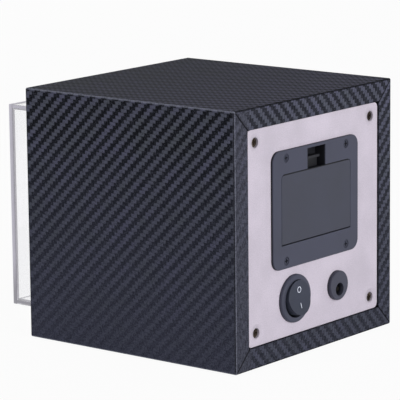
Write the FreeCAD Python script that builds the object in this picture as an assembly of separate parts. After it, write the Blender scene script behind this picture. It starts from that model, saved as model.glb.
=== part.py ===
import FreeCAD, Part
import math
import os

from FreeCAD import Vector

# Watch winder box: a fibreboard cube wrapped in embossed leatherette. A clear cover plugs into the front,
# a motor and gear train turn a cup that holds the watch pillow, and the grey rear panel carries the battery
# tray, the power switch and the supply socket.
# Frame: millimetres, +Z up, front towards -Y, origin on the floor under the middle of the case.

# Case: four mitred boards, the leatherette round them and the felt underneath
case_width = 122.0
case_depth = 124.0
case_height = 120.0
board_thickness = 9.0
wrap_thickness = 0.5
edge_radius = 1.2
felt_thickness = 0.8
felt_inset = 6.0
felt_corner = 3.0

# Front opening: velvet lining, inner fascia and the battens behind it
lining_thickness = 0.9
lining_setback = 1.5
fascia_setback = 14.0
fascia_thickness = 3.0
fascia_hole_radius = 44.0
front_batten = 8.0
rear_batten = 12.0
joint_gap = 0.2
screw_gap = 0.1

# Clear front cover, five glued panes
cover_projection = 21.0
pane_thickness = 2.5
cover_clearance = 0.3

# Rotating cup, its grips and the watch pillow
cup_radius = 42.0
cup_wall = 2.0
cup_floor = 2.5
cup_depth = 40.0
cup_proud = 1.0
cup_lip = 1.0
cup_lip_width = 2.0
pillow_length = 62.0
pillow_height = 46.0
pillow_depth = 38.0
pillow_corner = 14.0
pillow_floor_gap = 6.5
grip_gap = 0.4
grip_height = 40.0
grip_depth = 30.0

# Hub that fixes the cup to the output shaft
shaft_radius = 1.5
running_clearance = 0.05
hub_flange_radius = 11.0
hub_flange = 2.5
hub_collar_radius = 5.0
hub_collar = 6.0
hub_gap = 1.0
hub_screw_circle_radius = 8.0
hub_screw_radius = 1.0
hub_head_radius = 2.0
hub_head = 1.2
hub_screw_grip = 1.25
set_screw_radius = 1.25

# Partition and gearbox
partition_thickness = 4.0
boss_radius = 5.5
bush_radius = 3.0
gearbox_plate = 2.0
gearbox_wall = 2.0
gearbox_margin = 1.5
gear_module = 0.4
wheel_teeth = 60
pinion_teeth = 12
pressure_angle = 25.0
addendum = 0.8
dedendum = 1.05
backlash = 0.14
flank_points = 4
gear_gap = 0.5
output_width = 4.0
reduction_width = 3.0
axle_radius = 1.0
axle_seat = 1.0
second_axle_angle = 70.0
first_axle_angle = 130.0
motor_angle = 50.0
gearbox_screw_radius = 1.5
gearbox_head_radius = 3.0
gearbox_head = 1.8
gearbox_screw_grip = 3.0
gearbox_boss_radius = 3.2
gearbox_boss_inset = 2.4

# Motor
motor_radius = 7.75
motor_length = 16.0
motor_cap = 2.5
motor_boss_radius = 2.5
motor_boss = 1.2
motor_shaft_radius = 1.0
motor_edge = 1.2
motor_screw_radius = 0.8
motor_head_radius = 1.5
motor_head = 1.2
motor_screw_grip = 2.0
motor_screw_distance = 4.5
motor_cap_radius = 6.6
motor_tab_spread = 3.5
motor_wire_gap = 2.5
motor_tab_height = 2.0
motor_tab_thickness = 1.0
motor_tab_length = 3.0
motor_bore_floor = 2.5

# Screw heads, as shares of the head's own height or radius
head_rounding = 0.33
slot_depth = 0.6
slot_reach = 0.62
slot_width = 0.28

# Rear panel
panel_recess = 1.0
panel_thickness = 3.0
panel_corner = 2.5
panel_screw_inset = 6.2
panel_screw_radius = 1.4
panel_head_radius = 2.2
panel_head = 1.0
panel_head_sink = 0.7
panel_screw_grip = 12.0

# Battery tray and lid
tray_rise = 9.9
flange_width = 66.4
flange_height = 55.0
flange_thickness = 1.4
flange_corner = 5.0
flange_edge = 0.45
tray_wall = 1.5
bay_length = 57.5
bay_height = 31.0
bay_depth = 15.0
lid_width = 53.4
lid_height = 32.6
lid_thickness = 1.6
lid_gap = 0.25
lid_corner = 2.0
hook_spacing = 28.0
hook_width = 8.0
hook_thickness = 1.2
hook_drop = 2.3
recess_width = 14.0
recess_height = 9.8
recess_depth = 4.5
recess_shell = 0.7
latch_width = 9.0
latch_reach = 2.7
latch_thickness = 1.2
latch_height = 5.4
tray_screw_spacing_x = 46.6
tray_screw_spacing_z = 47.8
tray_screw_radius = 1.1
tray_head_radius = 1.9
tray_head = 0.7
tray_head_sink = 0.1
contact_thickness = 0.4
contact_size = 10.0
tab_width = 0.8
solder_tab = 2.5
spring_wire = 0.35
spring_radius = 3.2
spring_turns = 4
spring_length = 5.8

# Power switch
control_drop = 32.8
switch_x = 16.2
bezel_radius = 11.3
bezel_thickness = 2.0
bezel_edge = 1.0
switch_barrel_radius = 9.9
switch_depth = 15.0
switch_floor = 3.0
rocker_radius = 8.1
rocker_clearance = 0.8
rocker_depth = 4.0
rocker_face = 4.2
rocker_dish = 6.0
rocker_tilt = 9.0
trunnion_radius = 1.2
trunnion_length = 1.0
blade_width = 4.8
blade_thickness = 0.8
blade_length = 7.0

# Supply socket
jack_x = -17.2
jack_flange_radius = 7.0
jack_flange = 2.2
jack_edge = 0.55
jack_barrel_radius = 5.5
jack_depth = 13.0
jack_bore_radius = 3.1
jack_bore_depth = 10.0
jack_bore_drop = 1.8
jack_pin_radius = 1.05
jack_tail_radius = 0.8
jack_pin_setback = 1.2
jack_nut_width = 14.0
jack_nut = 2.5
jack_lug_width = 2.0
jack_lug_thickness = 0.6
jack_lug_length = 4.0

# Control board
board_width = 44.0
board_depth = 22.0
circuit_thickness = 1.6
standoff_height = 4.0
standoff_radius = 2.2
standoff_inset = 3.5
circuit_gap = 6.0
standoff_stub_radius = 1.1
standoff_stub = 1.0
component_row = 6.0
chip_x = -8.8
chip_width = 10.0
chip_depth = 5.0
capacitor_x = 8.8
capacitor_radius = 3.0
capacitor_height = 8.0
capacitor_edge = 0.4
header_size = 5.0
header_width = 7.5
header_setback = 9.0
pole_spread = 2.5
chip_height = 1.6
wire_radius = 0.6
wire_bend = 4.0

# Places worked out from those sizes
half_width = case_width / 2
case_bottom = felt_thickness
case_top = case_bottom + case_height
axis_z = case_bottom + case_height / 2
front_y = -case_depth / 2
back_y = case_depth / 2
wall = board_thickness + 2 * wrap_thickness
mouth_half_width = half_width - wall
mouth_half_height = case_height / 2 - wall
room_half_width = mouth_half_width + wrap_thickness
room_half_height = mouth_half_height + wrap_thickness
room_floor = axis_z - room_half_height

fascia_front = front_y + fascia_setback
fascia_back = fascia_front + fascia_thickness
panel_outer = back_y - panel_recess
panel_inner = panel_outer - panel_thickness
panel_screw_seat = panel_outer - panel_head_sink - panel_head

cup_front = fascia_front - cup_proud
cup_back = cup_front + cup_depth
cup_inside = cup_back - cup_floor
cup_bore = cup_radius - cup_wall
hub_back = cup_back + hub_flange + hub_collar
set_screw_y = hub_back - hub_collar / 2
partition_front = hub_back + hub_gap
partition_back = partition_front + partition_thickness
pillow_back = cup_inside - pillow_floor_gap
pillow_front = pillow_back - pillow_depth

base_inside = partition_back + gearbox_plate
output_level = (base_inside + gear_gap, base_inside + gear_gap + output_width)
second_level = (output_level[1] + gear_gap, output_level[1] + gear_gap + reduction_width)
first_level = (second_level[1] + gear_gap, second_level[1] + gear_gap + reduction_width)
gearbox_inside = first_level[1] + gear_gap
gearbox_back = gearbox_inside + gearbox_plate
motor_back = gearbox_back + motor_length
motor_end = motor_back + motor_cap

gear_distance = gear_module * (wheel_teeth + pinion_teeth) / 2
wheel_tip = gear_module * (wheel_teeth / 2 + addendum)
pinion_tip = gear_module * (pinion_teeth / 2 + addendum)

tray_z = axis_z + tray_rise
flange_face = panel_outer + flange_thickness
tray_screw_seat = flange_face - tray_head_sink - tray_head
lid_inside = flange_face - lid_thickness
lid_pivot_y = flange_face - lid_thickness / 2
lid_pivot_z = tray_z - lid_height / 2 + lid_thickness / 2
bay_back = lid_inside - joint_gap
bay_front = bay_back - bay_depth
tray_front = bay_front - tray_wall
control_z = axis_z - control_drop
bezel_face = panel_outer + bezel_thickness
switch_front = panel_outer - switch_depth
jack_face = panel_outer + jack_flange
jack_front = panel_outer - jack_depth
bore_z = control_z - jack_bore_drop


def polar(centre, distance, angle):
    """Point in the XZ plane at a distance and an angle in degrees, counted from +X towards +Z."""
    turn = math.radians(angle)
    return (centre[0] + distance * math.cos(turn), centre[1] + distance * math.sin(turn))


output_axis = (0.0, axis_z)
second_axis = polar(output_axis, gear_distance, second_axle_angle)
first_axis = polar(second_axis, gear_distance, first_axle_angle)
motor_axis = polar(first_axis, gear_distance, motor_angle)


# Building blocks
def block(x, y, z):
    """Box from three (low, high) ranges."""
    return Part.makeBox(x[1] - x[0], y[1] - y[0], z[1] - z[0], Vector(x[0], y[0], z[0]))


def about(centre, half):
    """(low, high) range of a half width either side of a centre."""
    return (centre - half, centre + half)


def rod(centre, radius, y):
    """Cylinder along Y, its centre given in the XZ plane."""
    return Part.makeCylinder(radius, y[1] - y[0], Vector(centre[0], y[0], centre[1]), Vector(0, 1, 0))


def post(x, y, radius, z):
    """Cylinder along Z."""
    return Part.makeCylinder(radius, z[1] - z[0], Vector(x, y, z[0]), Vector(0, 0, 1))


def cross_rod(x, y, z, radius):
    """Cylinder along X over an x range."""
    return Part.makeCylinder(radius, x[1] - x[0], Vector(x[0], y, z), Vector(1, 0, 0))


def edges_along(shape, axis):
    """Straight edges of a shape that run along one axis."""
    return [e for e in shape.Edges
            if isinstance(e.Curve, Part.Line) and abs(e.tangentAt(e.FirstParameter).dot(axis)) > 0.999]


def plate(x, y, z, corner):
    """Box with its four edges along Y rounded."""
    flat = block(x, y, z)
    return flat.makeFillet(corner, edges_along(flat, Vector(0, 1, 0)))


def upper_rounded(x, y, z, corner):
    """Box with only its two upper edges along Y rounded."""
    flat = block(x, y, z)
    upper = [e for e in edges_along(flat, Vector(0, 1, 0)) if e.BoundBox.ZMin > (z[0] + z[1]) / 2]
    return flat.makeFillet(corner, upper)


def four_corners(half_x, half_z, centre_z):
    """The four corner points of a rectangle in the XZ plane, centred on x = 0."""
    return [(sx * half_x, centre_z + sz * half_z) for sx in (-1, 1) for sz in (-1, 1)]


def cross_slot(centre, y, reach, width):
    """Cross-shaped driver slot over a y range."""
    across = block(about(centre[0], reach), y, about(centre[1], width / 2))
    upright = block(about(centre[0], width / 2), y, about(centre[1], reach))
    return across.fuse(upright)


def circles_at(shape, y):
    """Round edges of a shape that lie in the plane at that y."""
    return [e for e in shape.Edges if isinstance(e.Curve, Part.Circle) and abs(e.Curve.Center.y - y) < 1e-3]


def screw(centre, head_radius, head, shank_radius, shank, seat, facing):
    """Pan-head screw along Y. Its head sits on the plane y = seat and faces +Y or -Y, as facing says."""
    head_top = seat + facing * head
    shank_end = seat - facing * shank
    body = rod(centre, head_radius, sorted((seat, head_top)))
    body = body.makeFillet(head * head_rounding, circles_at(body, head_top))
    slot_floor = head_top - facing * head * slot_depth
    slot_y = sorted((slot_floor, head_top + facing))
    body = body.cut(cross_slot(centre, slot_y, head_radius * slot_reach, head_radius * slot_width))
    return body.fuse(rod(centre, shank_radius, sorted((seat, shank_end)))).removeSplitter()


def prism(points, y):
    """Polygon of (x, z) points, extruded along Y over a range."""
    corners = [Vector(p[0], y[0], p[1]) for p in points]
    face = Part.Face(Part.makePolygon(corners + corners[:1]))
    return face.extrude(Vector(0, y[1] - y[0], 0))


def tube(points, radius, bend):
    """Round wire along straight runs that are joined by tangent arcs of the bend radius."""
    path = [Vector(*p) for p in points]
    edges = []
    start = path[0]
    for before, corner, after in zip(path, path[1:], path[2:]):
        arriving = (corner - before).normalize()
        leaving = (after - corner).normalize()
        turn = arriving.getAngle(leaving)
        setback = bend * math.tan(turn / 2)
        inward = (leaving - arriving).normalize()
        arc_in = corner - arriving * setback
        arc_out = corner + leaving * setback
        arc_mid = corner + inward * (bend / math.cos(turn / 2) - bend)
        edges.append(Part.LineSegment(start, arc_in).toShape())
        edges.append(Part.Arc(arc_in, arc_mid, arc_out).toShape())
        start = arc_out
    edges.append(Part.LineSegment(start, path[-1]).toShape())
    section = Part.Wire(Part.Circle(path[0], path[1] - path[0], radius).toShape())
    return Part.Wire(edges).makePipeShell([section], True, False)


# Case
def carcass_ring():
    """The four boards as one ring, its outer edges eased so that the wrap keeps its thickness over them."""
    skin = wrap_thickness
    outer = block(about(0, half_width - skin), (front_y + skin, back_y - skin),
                  (case_bottom + skin, case_top - skin))
    outer = outer.makeFillet(edge_radius - skin, outer.Edges)
    return outer.cut(block(about(0, room_half_width), (front_y, back_y), about(axis_z, room_half_height)))


def mitre(side):
    """Prism with 45 degree ends that takes one wall out of the ring. Side is its outward (x, z) direction."""
    outward = Vector(side[0], 0, side[1])
    along = Vector(side[1], 0, side[0])
    to_face = room_half_width if side[0] else room_half_height
    half_run = room_half_height if side[0] else room_half_width
    inner_middle = Vector(0, 0, axis_z) + outward * to_face
    outer_middle = inner_middle + outward * wall
    corners = [inner_middle - along * half_run, inner_middle + along * half_run,
               outer_middle + along * (half_run + wall), outer_middle - along * (half_run + wall)]
    return prism([(corner.x, corner.z) for corner in corners], (front_y - 1, back_y + 1))


def wall_boards():
    """The four mitred boards by name."""
    ring = carcass_ring()
    sides = {"top_board": (0, 1), "bottom_board": (0, -1), "left_board": (-1, 0), "right_board": (1, 0)}
    return {name: ring.common(mitre(side)) for name, side in sides.items()}


def leatherette_wrap():
    """One skin over the outside, folded over the rims and a little way into both openings."""
    outer = block(about(0, half_width), (front_y, back_y), (case_bottom, case_top))
    outer = outer.makeFillet(edge_radius, outer.Edges)
    mouth = block(about(0, mouth_half_width), (front_y - 1, back_y + 1), about(axis_z, mouth_half_height))
    skin = outer.cut(mouth).cut(carcass_ring())
    bare = block(about(0, room_half_width), (fascia_front, panel_inner), about(axis_z, room_half_height))
    return skin.cut(bare)


def base_felt():
    """Felt sheet that the case stands on."""
    return plate_flat(half_width - felt_inset, case_depth / 2 - felt_inset, (0.0, felt_thickness), felt_corner)


def plate_flat(half_x, half_y, z, corner):
    """Flat sheet with its four upright edges rounded."""
    sheet = block(about(0, half_x), about(0, half_y), z)
    return sheet.makeFillet(corner, edges_along(sheet, Vector(0, 0, 1)))


def velvet_lining():
    """Velvet strips round the inside of the front opening."""
    depth = (front_y + lining_setback, fascia_front)
    inner_half_width = mouth_half_width - lining_thickness
    inner_half_height = mouth_half_height - lining_thickness
    strips = []
    for sign in (-1, 1):
        side = sorted((sign * inner_half_width, sign * mouth_half_width))
        strips.append(block(side, depth, about(axis_z, mouth_half_height)))
        level = sorted((axis_z + sign * inner_half_height, axis_z + sign * mouth_half_height))
        strips.append(block(about(0, inner_half_width), depth, level))
    return Part.makeCompound(strips)


def fascia_board():
    """Velvet-faced board with the round hole that the cup turns in."""
    board = block(about(0, room_half_width - joint_gap), (fascia_front, fascia_back),
                  about(axis_z, room_half_height - joint_gap))
    return board.cut(rod(output_axis, fascia_hole_radius, (fascia_front - 1, fascia_back + 1)))


def corner_battens(size, y):
    """Four square battens in the corners of the case."""
    pieces = []
    for x, z in four_corners(room_half_width - size / 2, room_half_height - size / 2, axis_z):
        pieces.append(block(about(x, size / 2), y, about(z, size / 2)))
    return pieces


# Front cover
def cover_panes():
    """Five clear panes: the front one covers the edges of the other four."""
    half_x = mouth_half_width - lining_thickness - cover_clearance
    half_z = mouth_half_height - lining_thickness - cover_clearance
    front = (front_y - cover_projection, front_y - cover_projection + pane_thickness)
    sides = (front[1], fascia_front - cover_clearance)
    panes = {"cover_front_pane": block(about(0, half_x), front, about(axis_z, half_z))}
    for name, sign in (("cover_top_pane", 1), ("cover_bottom_pane", -1)):
        z = sorted((axis_z + sign * half_z, axis_z + sign * (half_z - pane_thickness)))
        panes[name] = block(about(0, half_x), sides, z)
    for name, sign in (("cover_left_pane", -1), ("cover_right_pane", 1)):
        x = sorted((sign * half_x, sign * (half_x - pane_thickness)))
        panes[name] = block(x, sides, about(axis_z, half_z - pane_thickness))
    return panes


# Rotor
def hub_screw_places():
    return [polar(output_axis, hub_screw_circle_radius, angle) for angle in (90, 210, 330)]


def rotor_cup():
    """Open drum with a lip at its mouth."""
    drum = rod(output_axis, cup_radius, (cup_front, cup_back))
    lip = rod(output_axis, cup_radius + cup_lip, (cup_front, cup_front + cup_lip_width))
    drum = drum.fuse(lip).cut(rod(output_axis, cup_bore, (cup_front - 1, cup_inside)))
    drum = drum.cut(rod(output_axis, shaft_radius + running_clearance, (cup_inside - 1, cup_back + 1)))
    for place in hub_screw_places():
        drum = drum.cut(rod(place, hub_screw_radius + running_clearance, (cup_inside - 1, cup_back + 1)))
    return drum


def rotor_hub():
    """Flanged collar on the output shaft, tapped for one set screw."""
    hub = rod(output_axis, hub_flange_radius, (cup_back, cup_back + hub_flange))
    hub = hub.fuse(rod(output_axis, hub_collar_radius, (cup_back + hub_flange, hub_back))).removeSplitter()
    hub = hub.cut(rod(output_axis, shaft_radius, (cup_back - 1, hub_back + 1)))
    for place in hub_screw_places():
        hub = hub.cut(rod(place, hub_screw_radius, (cup_back - 1, cup_back + hub_flange)))
    return hub.cut(post(0, set_screw_y, set_screw_radius, (axis_z, axis_z + hub_collar_radius + 1)))


def hub_set_screw():
    """Grub screw that bears on the shaft."""
    ends = (axis_z + shaft_radius, axis_z + hub_collar_radius - joint_gap)
    return post(0, set_screw_y, set_screw_radius - running_clearance, ends)


def hub_screws():
    shank = cup_floor + hub_screw_grip
    return Part.makeCompound([screw(place, hub_head_radius, hub_head, hub_screw_radius, shank, cup_inside, -1)
                              for place in hub_screw_places()])


def pillow_grip(sign):
    """Foam cheek that holds one end of the pillow."""
    y = (cup_inside - grip_depth, cup_inside)
    drum = rod(output_axis, cup_bore, y)
    side = sorted((sign * (pillow_length / 2 + grip_gap), sign * cup_radius))
    return drum.common(block(side, y, about(axis_z, grip_height / 2)))


def rounded_section(x, half_y, half_z, corner):
    """Closed wire at one x: a rectangle in YZ whose corners are quarter arcs."""
    middle_y = (pillow_front + pillow_back) / 2
    corners = [(1, 1), (-1, 1), (-1, -1), (1, -1)]
    edges = []
    ends = []
    for sy, sz in corners:
        centre = Vector(x, middle_y + sy * (half_y - corner), axis_z + sz * (half_z - corner))
        along_y = centre + Vector(0, sy * corner, 0)
        along_z = centre + Vector(0, 0, sz * corner)
        diagonal = centre + Vector(0, sy, sz).normalize() * corner
        first, last = (along_y, along_z) if sy * sz > 0 else (along_z, along_y)
        edges.append(Part.Arc(first, diagonal, last).toShape())
        ends.append((first, last))
    lines = []
    for index, edge in enumerate(edges):
        lines.append(edge)
        lines.append(Part.LineSegment(ends[index][1], ends[(index + 1) % 4][0]).toShape())
    return Part.Wire(lines)


def watch_pillow():
    """Stuffed pillow, full in the middle and drawn in towards both ends."""
    half = ((0.0, 1.0), (0.55, 0.985), (0.88, 0.93), (1.0, 0.80))
    stations = [(-share, fullness) for share, fullness in half[:0:-1]] + list(half)
    wires = [rounded_section(share * pillow_length / 2, fullness * pillow_depth / 2,
                             fullness * pillow_height / 2, fullness * pillow_corner) for share, fullness in stations]
    return Part.makeLoft(wires, True, False)


# Gear train
def gear_outline(teeth, phase):
    """Points of a gear with involute flanks, one tooth centred on the angle phase, in radians."""
    pitch = gear_module * teeth / 2
    base = pitch * math.cos(math.radians(pressure_angle))
    root = pitch - dedendum * gear_module
    tip = pitch + addendum * gear_module

    def roll(radius):
        turn = math.sqrt(max((radius / base) ** 2 - 1, 0))
        return turn - math.atan(turn)

    half_tooth = math.pi / (2 * teeth) - backlash / 4 / pitch + roll(pitch)
    start = max(base, root)
    flank = [(root, half_tooth)] if root < base else []
    for step in range(flank_points):
        radius = start + (tip - start) * step / (flank_points - 1)
        flank.append((radius, half_tooth - roll(radius)))
    points = []
    for tooth in range(teeth):
        middle = phase + 2 * math.pi * tooth / teeth
        for radius, angle in flank:
            points.append((radius * math.cos(middle - angle), radius * math.sin(middle - angle)))
        for radius, angle in reversed(flank):
            points.append((radius * math.cos(middle + angle), radius * math.sin(middle + angle)))
    return points


def gear(centre, teeth, phase, bore, y):
    """Spur gear along Y with a round bore."""
    points = [(centre[0] + px, centre[1] + pz) for px, pz in gear_outline(teeth, phase)]
    return prism(points, y).cut(rod(centre, bore, (y[0] - 1, y[1] + 1)))


def facing(angle):
    """Phase of a pinion that has a tooth pointing at that angle in degrees."""
    return math.radians(angle)


def gap_facing(angle, teeth):
    """Phase of a wheel that has a gap pointing at that angle in degrees."""
    return math.radians(angle) + math.pi / teeth


def output_gear():
    phase = gap_facing(second_axle_angle, wheel_teeth)
    return gear(output_axis, wheel_teeth, phase, shaft_radius, output_level)


def reduction_gear(centre, wheel_level, pinion_level, wheel_towards, pinion_towards):
    """Wheel and pinion in one moulding, free on its axle."""
    bore = axle_radius + running_clearance
    wheel = gear(centre, wheel_teeth, gap_facing(wheel_towards, wheel_teeth), bore, wheel_level)
    pinion = gear(centre, pinion_teeth, facing(pinion_towards), bore, (pinion_level[0], wheel_level[0]))
    return wheel.fuse(pinion).removeSplitter()


def second_gear():
    return reduction_gear(second_axis, second_level, output_level, first_axle_angle, second_axle_angle + 180)


def first_gear():
    return reduction_gear(first_axis, first_level, second_level, motor_angle, first_axle_angle + 180)


def motor_pinion():
    return gear(motor_axis, pinion_teeth, facing(motor_angle + 180), motor_shaft_radius, first_level)


def gearbox_span():
    """Inside width and height of the gearbox as (x range, z range)."""
    wheels = (output_axis, second_axis, first_axis)
    reach = wheel_tip + gearbox_margin
    screw_top = max(place[1] for place in motor_screw_places()) + motor_head_radius + gearbox_margin
    x = (min(c[0] for c in wheels) - reach, max(c[0] for c in wheels) + reach)
    z = (output_axis[1] - reach, max(first_axis[1] + reach, screw_top))
    return x, z


def gearbox_corners():
    """Centres of the four screw bosses inside the gearbox."""
    x, z = gearbox_span()
    inset = gearbox_boss_inset
    return [(cx, cz) for cx in (x[0] + inset, x[1] - inset) for cz in (z[0] + inset, z[1] - inset)]


def grown(span, by):
    return (span[0] - by, span[1] + by)


def gearbox_base():
    """Tray that holds the gears, with a boss that goes through the partition."""
    x, z = gearbox_span()
    base = plate(grown(x, gearbox_wall), (partition_back, gearbox_inside), grown(z, gearbox_wall), gearbox_wall)
    base = base.cut(block(x, (base_inside, gearbox_inside + 1), z))
    outline = block(x, (partition_back, gearbox_inside), z)
    for corner in gearbox_corners():
        boss = rod(corner, gearbox_boss_radius, (base_inside, gearbox_inside))
        base = base.fuse(boss.common(outline))
    base = base.fuse(rod(output_axis, boss_radius, (partition_front, partition_back))).removeSplitter()
    base = base.cut(rod(output_axis, bush_radius, (partition_front - 1, base_inside + 1)))
    for axle in (second_axis, first_axis):
        base = base.cut(rod(axle, axle_radius, (base_inside - axle_seat, base_inside + 1)))
    for corner in gearbox_corners():
        base = base.cut(rod(corner, gearbox_screw_radius + joint_gap, (partition_back - 1, gearbox_inside + 1)))
    return base


def gearbox_cover():
    """Rear plate of the gearbox, which carries the motor."""
    x, z = gearbox_span()
    cover = plate(grown(x, gearbox_wall), (gearbox_inside, gearbox_back), grown(z, gearbox_wall), gearbox_wall)
    for axle in (second_axis, first_axis):
        cover = cover.cut(rod(axle, axle_radius, (gearbox_inside - 1, gearbox_inside + axle_seat)))
    cover = cover.cut(rod(output_axis, shaft_radius + running_clearance,
                          (gearbox_inside - 1, gearbox_inside + axle_seat + running_clearance)))
    cover = cover.cut(rod(motor_axis, motor_boss_radius + joint_gap, (gearbox_inside - 1, gearbox_back + 1)))
    for place in motor_screw_places():
        cover = cover.cut(rod(place, motor_screw_radius + joint_gap, (gearbox_inside - 1, gearbox_back + 1)))
    for corner in gearbox_corners():
        cover = cover.cut(rod(corner, gearbox_screw_radius + joint_gap, (gearbox_inside - 1, gearbox_back + 1)))
    return cover


def gear_axles():
    ends = (base_inside - axle_seat, gearbox_inside + axle_seat)
    return Part.makeCompound([rod(axle, axle_radius, ends) for axle in (second_axis, first_axis)])


def output_shaft():
    return rod(output_axis, shaft_radius, (cup_inside, gearbox_inside + axle_seat))


def output_bush():
    bush = rod(output_axis, bush_radius, (partition_front, base_inside))
    return bush.cut(rod(output_axis, shaft_radius + running_clearance, (partition_front - 1, base_inside + 1)))


def gearbox_screws():
    shank = gearbox_back - partition_back + gearbox_screw_grip
    return Part.makeCompound([screw(corner, gearbox_head_radius, gearbox_head, gearbox_screw_radius, shank,
                                    gearbox_back, 1) for corner in gearbox_corners()])


def partition_board():
    """Board across the case that the gearbox hangs on."""
    board = block(about(0, room_half_width - joint_gap), (partition_front, partition_back),
                  about(axis_z, room_half_height - joint_gap))
    board = board.cut(rod(output_axis, boss_radius + joint_gap, (partition_front - 1, partition_back + 1)))
    pilot = partition_back - gearbox_screw_grip
    for corner in gearbox_corners():
        board = board.cut(rod(corner, gearbox_screw_radius, (pilot, partition_back + 1)))
    return board


# Motor
def motor_screw_places():
    return [polar(motor_axis, motor_screw_distance, motor_angle + turn) for turn in (-90, 90)]


def motor_can():
    """Drawn steel can with a bearing boss on its front."""
    can = rod(motor_axis, motor_radius, (gearbox_back, motor_back))
    can = can.makeFillet(motor_edge, circles_at(can, gearbox_back) + circles_at(can, motor_back))
    boss = rod(motor_axis, motor_boss_radius, (gearbox_back - motor_boss, gearbox_back))
    can = can.fuse(boss).removeSplitter()
    bore = (gearbox_back - motor_boss - 1, motor_back - motor_bore_floor)
    can = can.cut(rod(motor_axis, motor_shaft_radius + running_clearance, bore))
    for place in motor_screw_places():
        can = can.cut(rod(place, motor_screw_radius, (gearbox_back - 1, gearbox_back + motor_screw_grip)))
    return can


def motor_shaft():
    return rod(motor_axis, motor_shaft_radius, (first_level[0], motor_back - motor_bore_floor - joint_gap))


def motor_end_cap():
    return rod(motor_axis, motor_cap_radius, (motor_back, motor_end))


def motor_terminals():
    return Part.makeCompound([block(about(motor_axis[0] + sign * motor_tab_spread, motor_tab_thickness / 2),
                                    (motor_end, motor_end + motor_tab_length),
                                    about(motor_axis[1], motor_tab_height / 2)) for sign in (-1, 1)])


def motor_screws():
    shank = gearbox_plate + motor_screw_grip
    return Part.makeCompound([screw(place, motor_head_radius, motor_head, motor_screw_radius, shank,
                                    gearbox_inside, -1) for place in motor_screw_places()])


# Rear panel
def panel_screw_places():
    return four_corners(mouth_half_width - panel_screw_inset, mouth_half_height - panel_screw_inset, axis_z)


def tray_screw_places():
    return four_corners(tray_screw_spacing_x / 2, tray_screw_spacing_z / 2, tray_z)


def rear_panel():
    """Grey suede board in the rear opening, cut out for the tray, the switch and the socket."""
    panel = plate(about(0, mouth_half_width - joint_gap), (panel_inner, panel_outer),
                  about(axis_z, mouth_half_height - joint_gap), panel_corner)
    through = (panel_inner - 1, panel_outer + 1)
    half_bay = bay_height / 2 + tray_wall
    hook_room = lid_height / 2 + hook_drop + 2 * joint_gap + lid_thickness
    panel = panel.cut(block(about(0, bay_length / 2 + tray_wall + joint_gap), through,
                            (tray_z - hook_room, tray_z + half_bay + joint_gap)))
    panel = panel.cut(block(about(0, recess_width / 2 + recess_shell + joint_gap), through,
                            (tray_z, tray_z + lid_height / 2 + recess_height + recess_shell + joint_gap)))
    panel = panel.cut(rod((switch_x, control_z), switch_barrel_radius + joint_gap, through))
    panel = panel.cut(rod((jack_x, control_z), jack_barrel_radius + joint_gap, through))
    for place in panel_screw_places():
        panel = panel.cut(rod(place, panel_head_radius + joint_gap, (panel_screw_seat, panel_outer + 1)))
        panel = panel.cut(rod(place, panel_screw_radius + joint_gap, through))
    for place in tray_screw_places():
        panel = panel.cut(rod(place, tray_screw_radius, through))
    return panel


def panel_screws():
    shank = panel_screw_seat - panel_inner + panel_screw_grip
    return Part.makeCompound([screw(place, panel_head_radius, panel_head, panel_screw_radius, shank,
                                    panel_screw_seat, 1) for place in panel_screw_places()])


def rear_battens():
    """Corner battens behind the partition, drilled for the panel screws."""
    battens = corner_battens(rear_batten, (partition_back, panel_inner))
    holes = [rod(place, panel_screw_radius, (panel_inner - panel_screw_grip, panel_inner + 1))
             for place in panel_screw_places()]
    drilled = []
    for batten in battens:
        for hole in holes:
            batten = batten.cut(hole)
        drilled.append(batten)
    return Part.makeCompound(drilled)


# Battery tray
def hook_places():
    return [sign * hook_spacing / 2 for sign in (-1, 1)]


def battery_tray():
    """Moulded tray: a flange on the panel, a bay for two cells and a finger recess over the lid."""
    tray = plate(about(0, flange_width / 2), (panel_outer, flange_face), about(tray_z, flange_height / 2),
                 flange_corner)
    rim = [e for e in tray.Edges if e.BoundBox.YMin > flange_face - 1e-3]
    tray = tray.makeFillet(min(flange_edge, flange_thickness / 2), rim)
    half_bay = bay_height / 2
    tray = tray.fuse(block(about(0, bay_length / 2 + tray_wall), (tray_front, panel_outer),
                           about(tray_z, half_bay + tray_wall)))
    recess_top = tray_z + lid_height / 2 + recess_height
    recess_floor = panel_outer - recess_depth
    pocket = block(about(0, recess_width / 2 + recess_shell), (recess_floor - recess_shell, panel_outer),
                   (tray_z + half_bay, recess_top + recess_shell))
    tray = tray.fuse(pocket).removeSplitter()
    tray = tray.cut(block(about(0, bay_length / 2), (bay_front, bay_back), about(tray_z, half_bay)))
    tray = tray.cut(upper_rounded(about(0, lid_width / 2 + lid_gap), (bay_back, flange_face + 1),
                                  about(tray_z, lid_height / 2 + lid_gap), lid_corner + lid_gap))
    tray = tray.cut(block(about(0, recess_width / 2), (recess_floor, flange_face + 1),
                          (tray_z + lid_height / 2 - lid_thickness, recess_top)))
    latch_slot = latch_width / 2 + 3 * lid_gap
    tray = tray.cut(block(about(0, latch_slot), (recess_floor, bay_back),
                          (tray_z + half_bay - 1, tray_z + half_bay + tray_wall + 1)))
    swing = hook_drop + 2 * lid_thickness
    for x in hook_places():
        tray = tray.cut(block(about(x, hook_width / 2 + 2 * lid_gap), (lid_pivot_y - swing, panel_outer),
                              (lid_pivot_z - swing, lid_pivot_z + swing)))
    for place in tray_screw_places():
        tray = tray.cut(rod(place, tray_screw_radius + joint_gap, (panel_outer - 1, flange_face + 1)))
        tray = tray.cut(rod(place, tray_head_radius + screw_gap, (tray_screw_seat, flange_face + 1)))
    for x, z in solder_tabs():
        tray = tray.cut(block(about(x, contact_thickness / 2), (tray_front - 1, bay_front + 1),
                              about(z, tab_width / 2)))
    return tray


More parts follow.
